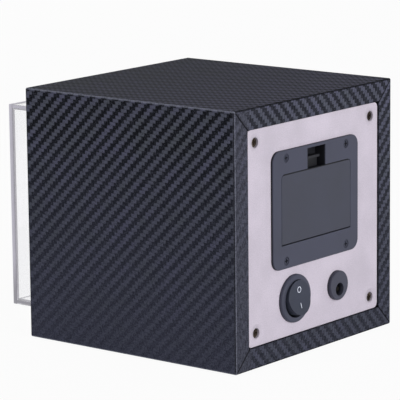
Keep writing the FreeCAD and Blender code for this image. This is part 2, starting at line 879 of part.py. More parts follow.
def battery_lid():
    """Lid with a round lower edge to swing on, two hooks below and a spring latch above."""
    lid = upper_rounded(about(0, lid_width / 2), (lid_inside, flange_face),
                        (lid_pivot_z, tray_z + lid_height / 2), lid_corner)
    lid = lid.fuse(cross_rod(about(0, lid_width / 2), lid_pivot_y, lid_pivot_z, lid_thickness / 2))
    hook_y = (lid_inside - hook_thickness - joint_gap, lid_inside - joint_gap)
    hook_top = lid_pivot_z + 2 * lid_thickness
    for x in hook_places():
        lid = lid.fuse(block(about(x, hook_width / 2), hook_y, (lid_pivot_z - hook_drop, hook_top)))
        lid = lid.fuse(block(about(x, hook_width / 2), (hook_y[0], lid_inside),
                             (lid_pivot_z + lid_thickness / 2, hook_top)))
    latch_y = (lid_inside - latch_reach, lid_inside)
    latch_foot = tray_z + lid_height / 2 - latch_thickness
    latch_top = tray_z + lid_height / 2 + latch_height
    leg = (latch_y[0], latch_y[0] + latch_thickness)
    lid = lid.fuse(block(about(0, latch_width / 2), latch_y, (latch_foot, latch_foot + latch_thickness)))
    lid = lid.fuse(block(about(0, latch_width / 2), leg, (latch_foot, latch_top)))
    lid = lid.fuse(block(about(0, latch_width / 2), latch_y, (latch_top - latch_thickness, latch_top)))
    return lid.removeSplitter()


def tray_screws():
    shank = tray_screw_seat - panel_inner
    return Part.makeCompound([screw(place, tray_head_radius, tray_head, tray_screw_radius, shank,
                                    tray_screw_seat, 1) for place in tray_screw_places()])


def cell_heights():
    """Heights of the lower and the upper cell."""
    return [tray_z + sign * bay_height / 4 for sign in (-1, 1)]


def solder_tabs():
    """Where the two contacts at the -X end leave through the back of the bay."""
    x = -(bay_length / 2 - contact_thickness / 2)
    return [(x, z) for z in cell_heights()]


def contact_plates():
    """Two single contacts with solder tabs at one end, and the bridge at the other."""
    middle_y = (bay_front + bay_back) / 2
    half = contact_size / 2
    outer = bay_length / 2
    inner = outer - contact_thickness
    plates = []
    for x, z in solder_tabs():
        single = block((-outer, -inner), about(middle_y, half), about(z, half))
        stem = block((-outer, -inner), (bay_front, middle_y), about(z, tab_width / 2))
        tab = block((-outer, -inner), (tray_front - solder_tab, bay_front), about(z, tab_width / 2))
        plates.append(single.fuse(stem).fuse(tab).removeSplitter())
    lower, upper = cell_heights()
    plates.append(block((inner, outer), about(middle_y, half), (lower - half, upper + half)))
    return Part.makeCompound(plates)


def coil_spring(base_x, direction, z):
    """Contact spring: one round wire wound along X, each turn as four quarter arcs."""
    middle_y = (bay_front + bay_back) / 2
    quarters = 4 * spring_turns
    length = spring_length - 2 * spring_wire

    def on_coil(step):
        turn = step * math.pi / 2
        x = base_x + direction * (spring_wire + length * step / quarters)
        return Vector(x, middle_y + spring_radius * math.cos(turn), z + spring_radius * math.sin(turn))

    edges = [Part.Arc(on_coil(n), on_coil(n + 0.5), on_coil(n + 1)).toShape() for n in range(quarters)]
    start = edges[0].tangentAt(edges[0].FirstParameter)
    section = Part.Wire(Part.Circle(on_coil(0), start, spring_wire).toShape())
    return Part.Wire(edges).makePipeShell([section], True, False)


def contact_springs():
    inner = bay_length / 2 - contact_thickness
    lower, upper = cell_heights()
    gap = (spring_length - 2 * spring_wire) / spring_turns - 2 * spring_wire
    print("contact spring: least gap between turns %.2f mm" % gap)
    return Part.makeCompound([coil_spring(-inner, 1, lower), coil_spring(inner, -1, upper)])


# Power switch
def switch_body():
    """Round snap-in body with its bezel on the panel."""
    centre = (switch_x, control_z)
    bezel = rod(centre, bezel_radius, (panel_outer, bezel_face))
    bezel = bezel.makeFillet(min(bezel_edge, bezel_thickness / 2), circles_at(bezel, bezel_face))
    body = bezel.fuse(rod(centre, switch_barrel_radius, (switch_front, panel_outer))).removeSplitter()
    well = rocker_radius + rocker_clearance
    body = body.cut(rod(centre, well, (switch_front + switch_floor, bezel_face + 1)))
    return body.cut(cross_rod(about(switch_x, well + trunnion_length + joint_gap), rocker_pivot_y(), control_z,
                              trunnion_radius + running_clearance))


def rocker_pivot_y():
    return panel_outer - rocker_clearance


def switch_rocker():
    """Round rocker with a shallow dished face, at rest with its upper half pressed in."""
    centre = (switch_x, control_z)
    pivot = Vector(switch_x, rocker_pivot_y(), control_z)
    middle = pivot.y + rocker_face
    rise = math.tan(math.radians(rocker_dish))
    far = 2 * rocker_radius
    rocker = rod(centre, rocker_radius, (pivot.y - rocker_depth, middle + far * rise))
    dish = [(middle, 0.0), (middle + far * rise, far), (middle + far, far), (middle + far, -far),
            (middle + far * rise, -far)]
    corners = [Vector(switch_x - far, py, control_z + pz) for py, pz in dish]
    cutter = Part.Face(Part.makePolygon(corners + corners[:1])).extrude(Vector(2 * far, 0, 0))
    rocker = rocker.cut(cutter)
    reach = rocker_radius + rocker_clearance + trunnion_length
    trunnions = cross_rod(about(switch_x, reach), pivot.y, control_z, trunnion_radius)
    rocker = rocker.fuse(trunnions).removeSplitter()
    rocker.rotate(pivot, Vector(1, 0, 0), rocker_tilt)
    return rocker


def switch_terminals():
    return Part.makeCompound([block(about(switch_x + sign * pole_spread, blade_thickness / 2),
                                    (switch_front - blade_length, switch_front),
                                    about(control_z, blade_width / 2)) for sign in (-1, 1)])


# Supply socket
def jack_body():
    """Round socket with its bore below the middle of the flange."""
    centre = (jack_x, control_z)
    flange = rod(centre, jack_flange_radius, (panel_outer, jack_face))
    flange = flange.makeFillet(min(jack_edge, jack_flange / 2), circles_at(flange, jack_face))
    body = flange.fuse(rod(centre, jack_barrel_radius, (jack_front, panel_outer))).removeSplitter()
    bore = (jack_x, bore_z)
    body = body.cut(rod(bore, jack_bore_radius, (jack_face - jack_bore_depth, jack_face + 1)))
    return body.cut(rod(bore, jack_tail_radius, (jack_front - 1, jack_face)))


def jack_pin():
    """Contact pin that stands free in the bore, on a thinner tail that goes through its floor."""
    bore = (jack_x, bore_z)
    floor = jack_face - jack_bore_depth
    pin = rod(bore, jack_pin_radius, (floor, jack_face - jack_pin_setback))
    return pin.fuse(rod(bore, jack_tail_radius, (jack_front, floor))).removeSplitter()


def jack_nut_ring():
    """Hexagon nut behind the panel."""
    corner = jack_nut_width / math.sqrt(3)
    points = [polar((jack_x, control_z), corner, 60 * n) for n in range(6)]
    y = (panel_inner - jack_nut, panel_inner)
    return prism(points, y).cut(rod((jack_x, control_z), jack_barrel_radius, (y[0] - 1, y[1] + 1)))


def jack_lugs():
    return Part.makeCompound([block(about(jack_x + sign * pole_spread, jack_lug_thickness / 2),
                                    (jack_front - jack_lug_length, jack_front),
                                    about(control_z + jack_bore_drop, jack_lug_width / 2)) for sign in (-1, 1)])


# Control board and wiring
circuit_bottom = room_floor + standoff_height
circuit_top = circuit_bottom + circuit_thickness
circuit_y = (switch_front - circuit_gap - board_depth, switch_front - circuit_gap)
header_y = circuit_y[1] - header_setback
header_top = circuit_top + header_size


def standoff_places():
    return [(sign * (board_width / 2 - standoff_inset), y) for sign in (-1, 1)
            for y in (circuit_y[0] + standoff_inset, circuit_y[1] - standoff_inset)]


def control_board():
    board = block(about(0, board_width / 2), circuit_y, (circuit_bottom, circuit_top))
    for x, y in standoff_places():
        board = board.cut(post(x, y, standoff_stub_radius, (circuit_bottom - 1, circuit_top + 1)))
    return board


def board_standoffs():
    """Nylon posts with a stub that snaps through the circuit board."""
    posts = []
    for x, y in standoff_places():
        foot = post(x, y, standoff_radius, (room_floor, circuit_bottom))
        stub = post(x, y, standoff_stub_radius, (circuit_bottom, circuit_top + standoff_stub))
        posts.append(foot.fuse(stub).removeSplitter())
    return Part.makeCompound(posts)


def control_chip():
    y = circuit_y[0] + component_row
    z = (circuit_top, circuit_top + chip_height)
    return block(about(chip_x, chip_width / 2), about(y, chip_depth / 2), z)


def smoothing_capacitor():
    y = circuit_y[0] + component_row
    can = post(capacitor_x, y, capacitor_radius, (circuit_top, circuit_top + capacitor_height))
    top = [e for e in can.Edges if isinstance(e.Curve, Part.Circle) and e.Curve.Center.z > circuit_top + 1e-3]
    return can.makeFillet(capacitor_edge, top)


def header_x(index):
    """Middle of one wire header, in a row from the socket to the switch: socket, battery, motor, switch."""
    return jack_x + (switch_x - jack_x) * index / 3


def wire_headers():
    return Part.makeCompound([block(about(header_x(index), header_width / 2), about(header_y, header_size / 2),
                                    (circuit_top, header_top)) for index in range(4)])


def header_pin(index, sign):
    return (header_x(index) + sign * pole_spread, header_y, header_top)


def raised(point, z):
    return (point[0], point[1], z)


def wire_set(routes):
    return Part.makeCompound([tube(points, wire_radius, wire_bend) for points in routes])


def panel_wires():
    """Wire pairs from the control board to the switch, the supply socket and the battery tray."""
    routes = []
    lug_z = control_z + jack_bore_drop
    low = lug_z + 3 * wire_bend
    tab_end = tray_front - solder_tab
    lead = tab_end - 2 * wire_bend
    for sign, (tab_x, tab_z) in zip((-1, 1), solder_tabs()):
        pin = header_pin(3, sign)
        blade_end = (switch_x + sign * pole_spread, switch_front - blade_length, control_z)
        routes.append([pin, raised(pin, control_z), blade_end])
        pin = header_pin(0, sign)
        lug_end = (jack_x + sign * pole_spread, jack_front - jack_lug_length, lug_z)
        routes.append([pin, raised(pin, lug_z), lug_end])
        pin = header_pin(1, sign)
        routes.append([pin, raised(pin, low), (tab_x, lead, low + 4 * wire_bend), (tab_x, lead, tab_z),
                       (tab_x, tab_end, tab_z)])
    return wire_set(routes)


def motor_wires():
    """Wire pair that goes up beside the battery tray and over it to the motor's tabs."""
    routes = []
    over_tray = tray_z + bay_height / 2 + tray_wall + 2 * wire_radius
    beside_tray = bay_length / 2 + tray_wall + motor_wire_gap
    tab_z = motor_axis[1] - motor_tab_height / 2
    tab_y = motor_end + motor_tab_length / 2
    for lane, sign in enumerate((-1, 1)):
        pin = header_pin(2, sign)
        tab_x = motor_axis[0] + sign * motor_tab_spread
        lane_x = beside_tray + lane * motor_wire_gap
        lane_z = over_tray + lane * 3 * wire_radius
        routes.append([pin, raised(pin, control_z + 2 * wire_bend), (lane_x, tab_y, control_z + 5 * wire_bend),
                       (lane_x, tab_y, lane_z), (tab_x, tab_y, lane_z), (tab_x, tab_y, tab_z)])
    return wire_set(routes)


parts = {
    **wall_boards(),
    "leatherette_wrap": leatherette_wrap(),
    "base_felt": base_felt(),
    "velvet_lining": velvet_lining(),
    "fascia_board": fascia_board(),
    "front_battens": Part.makeCompound(corner_battens(front_batten, (fascia_back, partition_front))),
    "rear_battens": rear_battens(),
    "partition_board": partition_board(),
    **cover_panes(),
    "rotor_cup": rotor_cup(),
    "rotor_hub": rotor_hub(),
    "hub_screws": hub_screws(),
    "hub_set_screw": hub_set_screw(),
    "pillow_grip_left": pillow_grip(-1),
    "pillow_grip_right": pillow_grip(1),
    "watch_pillow": watch_pillow(),
    "output_shaft": output_shaft(),
    "output_bush": output_bush(),
    "output_gear": output_gear(),
    "second_gear": second_gear(),
    "first_gear": first_gear(),
    "gear_axles": gear_axles(),
    "gearbox_base": gearbox_base(),
    "gearbox_cover": gearbox_cover(),
    "gearbox_screws": gearbox_screws(),
    "motor_can": motor_can(),
    "motor_shaft": motor_shaft(),
    "motor_pinion": motor_pinion(),
    "motor_end_cap": motor_end_cap(),
    "motor_terminals": motor_terminals(),
    "motor_screws": motor_screws(),
    "rear_panel": rear_panel(),
    "panel_screws": panel_screws(),
    "battery_tray": battery_tray(),
    "battery_lid": battery_lid(),
    "tray_screws": tray_screws(),
    "contact_plates": contact_plates(),
    "contact_springs": contact_springs(),
    "switch_body": switch_body(),
    "switch_rocker": switch_rocker(),
    "switch_terminals": switch_terminals(),
    "jack_body": jack_body(),
    "jack_pin": jack_pin(),
    "jack_nut": jack_nut_ring(),
    "jack_lugs": jack_lugs(),
    "control_board": control_board(),
    "board_standoffs": board_standoffs(),
    "control_chip": control_chip(),
    "smoothing_capacitor": smoothing_capacitor(),
    "wire_headers": wire_headers(),
    "panel_wires": panel_wires(),
    "motor_wires": motor_wires(),
}

os.makedirs("parts", exist_ok=True)
for name, shape in parts.items():
    shape.exportStep(os.path.join("parts", name + ".step"))
    print("%-20s solids %d  volume %9.1f  valid %s" % (name, len(shape.Solids), shape.Volume, shape.isValid()))
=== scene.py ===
# %% [markdown]
# A watch winder, seen from behind. The box is a cube of boards wrapped in black embossed leatherette, with a
# pale suede panel let into its back and a clear cover plugged into its front.
# The solids already have the right sizes and places, so this lesson is about surfaces: which pieces need a
# new, softer mesh, and what each finish looks like close up. Everything ends up in metres, in the solids' own
# frame. Shapes are worked out in millimetres first.

# %% Load the solids
import math

import bpy
import numpy as np
from mathutils import Matrix
from mathutils import Vector


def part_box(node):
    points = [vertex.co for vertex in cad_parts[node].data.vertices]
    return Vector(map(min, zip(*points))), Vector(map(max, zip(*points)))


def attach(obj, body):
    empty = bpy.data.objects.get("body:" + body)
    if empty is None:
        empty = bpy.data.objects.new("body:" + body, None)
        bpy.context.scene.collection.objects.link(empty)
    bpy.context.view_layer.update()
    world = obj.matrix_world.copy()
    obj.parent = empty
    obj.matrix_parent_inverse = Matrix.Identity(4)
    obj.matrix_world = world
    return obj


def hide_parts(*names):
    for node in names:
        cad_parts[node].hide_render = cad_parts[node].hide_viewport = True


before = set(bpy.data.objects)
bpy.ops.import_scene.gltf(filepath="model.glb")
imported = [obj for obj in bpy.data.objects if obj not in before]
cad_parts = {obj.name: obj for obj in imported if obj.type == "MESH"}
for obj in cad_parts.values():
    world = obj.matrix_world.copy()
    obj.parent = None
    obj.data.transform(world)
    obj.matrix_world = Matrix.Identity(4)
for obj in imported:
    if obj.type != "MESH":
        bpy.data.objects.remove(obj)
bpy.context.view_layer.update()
mm = 0.001


def new_object(name, data):
    """A new object, put into the scene."""
    thing = bpy.data.objects.new(name, data)
    bpy.context.scene.collection.objects.link(thing)
    return thing


# %% [markdown]
# The camera comes first, because every later choice is judged through it. It stands well back with a long
# lens, so the box shows only a little perspective. The azimuth goes round from the front, so about 129
# degrees is behind the right side. The picture is square, and the roll is the small lean of a hand-placed
# tripod.

# %% Camera
azimuth = math.radians(128.578)
elevation = math.radians(11.114)
roll = math.radians(-0.616)
camera_place = Vector((977.648, 773.427, 309.337)) * mm

towards_camera = Vector((math.sin(azimuth) * math.cos(elevation), -math.cos(azimuth) * math.cos(elevation),
                         math.sin(elevation)))
level_right = (-towards_camera).cross(Vector((0, 0, 1))).normalized()
level_up = level_right.cross(-towards_camera)
camera_right = level_right * math.cos(roll) + level_up * math.sin(roll)
camera_up = level_up * math.cos(roll) - level_right * math.sin(roll)

camera = new_object("camera", bpy.data.cameras.new("camera"))
camera_turn = Matrix((camera_right, camera_up, towards_camera)).transposed()
camera.matrix_world = Matrix.Translation(camera_place) @ camera_turn.to_4x4()
camera.data.sensor_width = 36.0
camera.data.lens = 240.1
camera.data.clip_end = 20.0
bpy.context.scene.camera = camera
bpy.context.scene.view_settings.view_transform = "Standard"
print("camera stands", round(camera_place.length, 3), "m from the origin")

# %% [markdown]
# A material is a small network of nodes, and so is the light of the studio. The first helper wires any such
# network. The second adds a surface shader to it, so that a finish below reads as a list of what it does: a
# noise here, a colour between two tones there. Inputs can be numbers or the output of another node.


# %% Helper that wires nodes
class Nodes:
    """A network of nodes being wired."""

    def __init__(self, tree):
        self.tree = tree

    def join(self, socket, value):
        """Links a node's output to the socket, or writes a plain number or colour there."""
        if isinstance(value, bpy.types.NodeSocket):
            self.tree.links.new(value, socket)
        elif isinstance(value, tuple) and socket.type == "RGBA":
            socket.default_value = (*value[:3], 1.0)
        else:
            socket.default_value = value

    def node(self, kind, inputs, output=0, **settings):
        """Adds a node with its settings and inputs, and gives one of its outputs."""
        made = self.tree.nodes.new(kind)
        for setting, value in settings.items():
            setattr(made, setting, value)
        for socket, value in inputs.items():
            self.join(made.inputs[socket], value)
        return made.outputs[output]

    def maths(self, operation, first, second=0.0, third=0.0):
        """One operation on up to three numbers."""
        return self.node("ShaderNodeMath", {0: first, 1: second, 2: third}, operation=operation)

    def axes(self, vector):
        """The three parts of a vector."""
        split = self.node("ShaderNodeSeparateXYZ", {0: vector}).node
        return [split.outputs[axis] for axis in "XYZ"]

    def ranged(self, value, low, high, to_low=0.0, to_high=1.0, smooth=False):
        """The value carried from one range to another, held at both ends."""
        kind = "SMOOTHSTEP" if smooth else "LINEAR"
        return self.node("ShaderNodeMapRange", {"Value": value, "From Min": low, "From Max": high,
                                                "To Min": to_low, "To Max": to_high}, interpolation_type=kind)


print("a network offers", [name for name in vars(Nodes) if not name.startswith("_")])


# %% Helper that makes a finish
class Finish(Nodes):
    """A material being made, with its surface shader."""

    def __init__(self, name, colour, roughness, **sockets):
        self.material = bpy.data.materials.new(name)
        self.material.use_nodes = True
        super().__init__(self.material.node_tree)
        self.surface = self.tree.nodes["Principled BSDF"]
        self.set("Base Color", colour)
        self.set("Roughness", roughness)
        for socket, value in sockets.items():
            self.set(socket.replace("_", " "), value)

    def set(self, socket, value):
        """Gives one of the surface shader's sockets its value."""
        self.join(self.surface.inputs[socket], value)

    def place(self, scale=(1.0, 1.0, 1.0)):
        """Object coordinates, stretched by scale."""
        coordinates = self.node("ShaderNodeTexCoord", {}, output="Object")
        return self.node("ShaderNodeMapping", {"Vector": coordinates, "Scale": scale})

    def noise(self, vector, per_metre, detail=3.0, rough=0.5):
        """A cloudy value round a half, with so many clouds to the metre."""
        return self.node("ShaderNodeTexNoise", {"Vector": vector, "Scale": per_metre, "Detail": detail,
                                                "Roughness": rough})

    def cells(self, vector, per_metre, feature="F1"):
        """The distance to the nearest of many scattered points, so many to the metre."""
        return self.node("ShaderNodeTexVoronoi", {"Vector": vector, "Scale": per_metre}, feature=feature)

    def tint(self, share, first, second):
        """A colour between two others."""
        mix = self.node("ShaderNodeMix", {"Factor": share}, data_type="RGBA").node
        self.join(mix.inputs[6], first)
        self.join(mix.inputs[7], second)
        return mix.outputs[2]

    def relief(self, height, depth, below=None):
        """Bumps the surface by a height from 0 to 1 times a depth in metres, on another bump if given."""
        inputs = {"Height": height, "Distance": depth, "Strength": 1.0}
        if below is not None:
            inputs["Normal"] = below
        bump = self.node("ShaderNodeBump", inputs)
        self.set("Normal", bump)
        return bump


def tone(red, green, blue):
    """A colour as it looks on a screen, from 0 to 255, made linear."""
    screen = np.array([red, green, blue]) / 255.0
    return tuple(np.where(screen <= 0.04045, screen / 12.92, ((screen + 0.055) / 1.055) ** 2.4).tolist())


finishes = {}
print("a mid grey of 128 is", round(tone(128, 128, 128)[0], 3), "in linear light")

# %% [markdown]
# The box stands on a plain white sweep with three large soft lamps: the main one behind the box, where the
# camera is, a weak one at its right and a middling one in front of it. The ceiling of the studio is dimmer
# than its walls, which keeps the top of the box dark. To the camera, in reflections and through glass, walls
# and floor are nearly their own white, so that the background stays clean. A small share of the floor's white
# is lit like paper, so that the box keeps a faint shadow and doesn't float.

# %% Lamps and studio
box_middle = Vector((0, 0, 0.06))


def soft_light(name, place, size, power):
    """A square lamp that faces the middle of the box."""
    lamp = bpy.data.lights.new(name, "AREA")
    lamp.size = size
    lamp.energy = power
    stand = new_object(name, lamp)
    stand.location = place
    stand.rotation_euler = (box_middle - Vector(place)).to_track_quat("-Z", "Y").to_euler()


def looked_at(network):
    """1 for rays from the camera, off a shiny surface or through glass, and 0 for those that only light."""
    rays = network.node("ShaderNodeLightPath", {}).node
    seen = network.maths("MAXIMUM", rays.outputs["Is Camera Ray"], rays.outputs["Is Glossy Ray"])
    return network.maths("MAXIMUM", seen, rays.outputs["Is Transmission Ray"])


soft_light("key_light", (0.35, 2.0, 0.5), 1.2, 28.5)
soft_light("side_light", (1.9, -0.9, 0.6), 1.2, 7.5)
soft_light("front_light", (-0.6, -2.1, 0.6), 1.4, 15.0)

world = bpy.data.worlds.new("studio")
world.use_nodes = True
bpy.context.scene.world = world
studio = Nodes(world.node_tree)
walls = world.node_tree.nodes["Background"]
_, _, upwards = studio.axes(studio.node("ShaderNodeTexCoord", {}, output="Generated"))
studio.join(walls.inputs["Color"], studio.ranged(upwards, 0.15, 0.8, 1.0, 0.45))
studio.join(walls.inputs["Strength"], studio.ranged(looked_at(studio), 0.0, 1.0, 0.45, 1.0))

# %% Floor
paper = Finish("white_paper", tone(240, 240, 241), 0.95)
paper.set("Specular IOR Level", 0.0)
grain = paper.noise(paper.place(), 900.0)
paper.set("Base Color", paper.tint(grain, tone(238, 238, 239), tone(243, 243, 244)))
glow = paper.node("ShaderNodeEmission", {"Color": (1.0, 1.0, 1.0), "Strength": 1.0})
glow_share = paper.maths("MULTIPLY", looked_at(paper), 0.95)
blend = paper.node("ShaderNodeMixShader", {0: glow_share, 1: paper.surface.outputs[0], 2: glow})
paper.join(paper.tree.nodes["Material Output"].inputs["Surface"], blend)

floor_mesh = bpy.data.meshes.new("floor")
floor_half = 6.0
floor_mesh.from_pydata([(-floor_half, -floor_half, 0), (floor_half, -floor_half, 0),
                        (floor_half, floor_half, 0), (-floor_half, floor_half, 0)], [], [(0, 1, 2, 3)])
floor = new_object("floor", floor_mesh)
floor_mesh.materials.append(paper.material)
print("floor", 2 * floor_half, "m square")

# %% [markdown]
# New pieces are grids. A function gives a point for every row and column, and the faces between neighbours
# follow from counting. Where a row closes to a point or two grids share an edge, equal points are merged and
# faces that have lost their area are dropped. Sheets can carry their own map, in which a pattern is laid.

# %% Grids into meshes
def grid_faces(rows, columns, close_columns=False):
    """Quads between the points of a grid, counted row by row, as indices.

    With close_columns the last column meets the first."""
    row = np.arange(rows - 1)[:, None]
    column = np.arange(columns if close_columns else columns - 1)[None, :]
    after = (column + 1) % columns
    corners = [row * columns + column, (row + 1) * columns + column, (row + 1) * columns + after,
               row * columns + after]
    return np.stack([corner + 0 * row * column for corner in corners], -1).reshape(-1, 4)


def add_piece(name, points, quads, finish, body, flat_map=None, sharp=40.0):
    """Makes a mesh object from points in mm. Quads become triangles, equal points merge, empty faces go."""
    triangles = quads[:, [0, 1, 2, 0, 2, 3]].reshape(-1, 3)
    unique, merged = np.unique(np.round(points, 4), axis=0, return_inverse=True)
    merged = merged.ravel()
    ends = merged[triangles]
    whole = (ends[:, 0] != ends[:, 1]) & (ends[:, 1] != ends[:, 2]) & (ends[:, 2] != ends[:, 0])
    mesh = bpy.data.meshes.new(name)
    mesh.from_pydata((unique * mm).tolist(), [], ends[whole].tolist())
    mesh.polygons.foreach_set("use_smooth", np.ones(len(mesh.polygons), bool))
    mesh.set_sharp_from_angle(angle=math.radians(sharp))
    if flat_map is not None:
        layer = mesh.uv_layers.new(name="weave")
        layer.data.foreach_set("uv", flat_map[triangles[whole].ravel()].astype(np.float32).ravel())
    piece = new_object(name, mesh)
    mesh.materials.append(finish.material)
    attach(piece, body)
    print(name, len(mesh.vertices), "points", len(mesh.polygons), "faces")
    return piece, merged


print("a 3 by 4 grid has", len(grid_faces(3, 4)), "faces")

# %% [markdown]
# The leatherette is one skin. It runs along the depth of the box, turns over the rims at both ends and goes
# a little way into the openings. So its shape is a profile, given as depth and inset, carried round a
# rectangle: the inset draws the rectangle smaller, which makes the mitred rim corners by itself.
# Laying the weave by the skin's own length and girth keeps it running over the edges without a break, as on
# a real sheet, and lets it jump at the mitres, where the folded corners of the sheet really meet.

# %% Profile of the skin
case_half = (61.0, 60.0)
case_middle = 60.8
depth_half = 62.0
rim = 10.0
edge_radius = 0.8
fold_radius = 0.5
front_end = -48.0
rear_end = 58.0


def quarter(centre, radius, start, stop, steps=6):
    """Points of an arc in (depth, inset), from one angle to another in degrees."""
    angle = np.radians(np.linspace(start, stop, steps + 1))
    return np.stack([centre[0] + radius * np.cos(angle), centre[1] + radius * np.sin(angle)], -1)


def skin_profile():
    """Half of the profile from the inside of the front opening to the middle of the side, then its mirror."""
    front = -depth_half
    mouth_fold = quarter((front + fold_radius, rim - fold_radius), fold_radius, 90, 180, 4)
    outer_edge = quarter((front + edge_radius, edge_radius), edge_radius, 180, 270, 6)
    half = [np.array([[front_end, rim], [front + 2 * fold_radius, rim]]), mouth_fold,
            np.array([[front, rim - 2 * fold_radius], [front, 6.0], [front, 2.0 * edge_radius]]), outer_edge,
            np.array([[front + 2.0 * edge_radius, 0.0], [-40.0, 0.0], [-20.0, 0.0], [0.0, 0.0]])]
    half = np.concatenate(half)
    mirror = half[-2::-1] * (-1.0, 1.0)
    mirror[-1, 0] = rear_end
    return np.concatenate([half, mirror])


def length_along(points):
    """Length of a line from its first point to each of its points."""
    return np.concatenate([[0.0], np.cumsum(np.linalg.norm(np.diff(points, axis=0), axis=1))])


profile = skin_profile()
run = length_along(profile)
print("the skin is", round(float(run[-1]), 1), "mm long from opening to opening")

# %% Profile carried round the box
outward = np.array([(1.0, 0.0), (0.0, 1.0), (-1.0, 0.0), (0.0, -1.0)])
along = np.roll(outward, -1, axis=0)
no_mitre = 6.0


def carried_round(profile, run, half, radius, spread):
    """Carries (depth, inset) points round a rectangle of the given half width and height.

    A side is the point itself at every place across. A corner is a quarter turn whose radius shrinks by the
    inset. Returns points, faces, the map of length and girth, the distance to the nearest mitre, and the
    painted light on the round of an edge, from -1 for painted shade to 1 for a painted highlight. Long edges
    get the highlight, level edges of a rim get the shade, and upright ones get shade beside the face and the
    highlight beside the rim."""
    depth = profile[:, :1]
    inset = profile[:, 1:]
    turn_inset = np.maximum(inset, radius)
    quarter_turn = np.linspace(0, math.pi / 2, 7)[None, :]
    rim_turn = np.arccos(np.clip(1.0 - inset / max(radius, 1e-6), 0.0, 1.0))
    level_round = -np.sin(2 * rim_turn)
    upright_round = -0.65 * np.sin(4 * rim_turn)
    bend_round = np.where(inset < radius, np.sqrt(np.abs(np.sin(2 * quarter_turn))), 0.0)
    bend_far = np.where(inset < radius, no_mitre, 0.0)
    points, faces, flat, mitre, round_share = [], [], [], [], []
    girth = 0.0
    count = 0
    for side in range(4):
        out = outward[side]
        way = along[side]
        reach = half[side % 2]
        reach_along = half[(side + 1) % 2]
        across = spread[None, :] * (reach_along - turn_inset)
        place = (reach - inset)[..., None] * out + across[..., None] * way
        corner = (reach - turn_inset)[..., None] * out + (reach_along - turn_inset)[..., None] * way
        arm = np.cos(quarter_turn)[..., None] * out + np.sin(quarter_turn)[..., None] * way
        bend = corner + (turn_inset - inset)[..., None] * arm
        far = np.where(inset < radius, no_mitre, reach_along - inset - np.abs(across))
        girth_side = girth + reach_along - radius + across
        girth_bend = girth + 2 * (reach_along - radius) + radius * quarter_turn + 0 * depth
        girth += 2 * (reach_along - radius) + radius * math.pi / 2
        rim_round = upright_round if side % 2 == 0 else level_round
        for grid, place_round, off, on_round in ((place, girth_side, far, rim_round),
                                                 (bend, girth_bend, bend_far, bend_round)):
            rows, columns = grid.shape[:2]
            level = depth + 0 * grid[..., 0]
            points.append(np.stack([grid[..., 0], level, grid[..., 1]], -1).reshape(-1, 3))
            flat.append(np.stack([run[:, None] + 0 * place_round, place_round], -1).reshape(-1, 2))
            mitre.append((off + 0 * place_round).ravel())
            round_share.append((on_round + 0 * place_round).ravel())
            faces.append(grid_faces(rows, columns) + count)
            count += rows * columns
    return [np.concatenate(part) for part in (points, faces, flat, mitre, round_share)]


edge_columns = 1.0 - np.array([0.0, 0.02, 0.1, 0.4, 0.7, 1.0])
spread = np.concatenate([-edge_columns, edge_columns[-2::-1]])
skin_sheet = carried_round(profile, run, case_half, edge_radius, spread)
skin_points, skin_faces, skin_map, skin_mitre, skin_round = skin_sheet
skin_points[:, 2] += case_middle
print("skin grid", len(skin_points), "points before merging")

# %% [markdown]
# The emboss imitates a two-over, two-under twill. Each strand of one set lies over two of the other and then
# under two, and the next strand does the same one step along, which makes the diagonal bands. Both sets are
# the same black vinyl: one set gets a painted slate reflection for the studio light its relief catches, and
# the other stays black. In the map, one unit is one strand. Which set is on top depends
# only on the difference of the strand numbers, taken round in fours, and each visible stretch is a small
# pillow two strands long: it falls away at both sides and at both ends, where it dives under.

# %% Leatherette weave
strand = np.array([1.70, 1.66])
weave_start = np.array([1.68, 0.0])
leather = Finish("leatherette", tone(30, 31, 36), 0.42)
laid = leather.node("ShaderNodeUVMap", {}, uv_map="weave")
along_depth, round_girth, _ = leather.axes(laid)
depth_count = leather.maths("FLOOR", along_depth)
girth_count = leather.maths("FLOOR", round_girth)
step = leather.maths("SUBTRACT", depth_count, girth_count)
fourth = leather.maths("FLOORED_MODULO", step, 4.0)
girth_strand = leather.maths("LESS_THAN", fourth, 1.5)


def pillow_height(side, length):
    """Height of one visible stretch: a round top across the strand and a rounded fall at both ends."""
    away = leather.maths("MULTIPLY_ADD", side, 2.0, -1.0)
    crown = leather.maths("SUBTRACT", 1.0, leather.maths("POWER", leather.maths("ABSOLUTE", away), 2.4))
    share = leather.maths("FRACT", leather.maths("DIVIDE", length, 4.0))
    arch = leather.maths("SINE", leather.maths("MULTIPLY", share, 2.0 * math.pi))
    return leather.maths("MULTIPLY", crown, leather.maths("POWER", leather.maths("MAXIMUM", arch, 0.0), 0.45))


girth_length = leather.maths("ADD", leather.maths("SUBTRACT", round_girth, depth_count), 1.0)
depth_length = leather.maths("SUBTRACT", leather.maths("SUBTRACT", along_depth, girth_count), 2.0)
over_girth = pillow_height(leather.maths("FRACT", along_depth), girth_length)
over_depth = pillow_height(leather.maths("FRACT", round_girth), depth_length)
height = leather.node("ShaderNodeMix", {0: girth_strand, 2: over_depth, 3: over_girth})
print("strands along the depth", round(float(run[-1] / strand[0])))
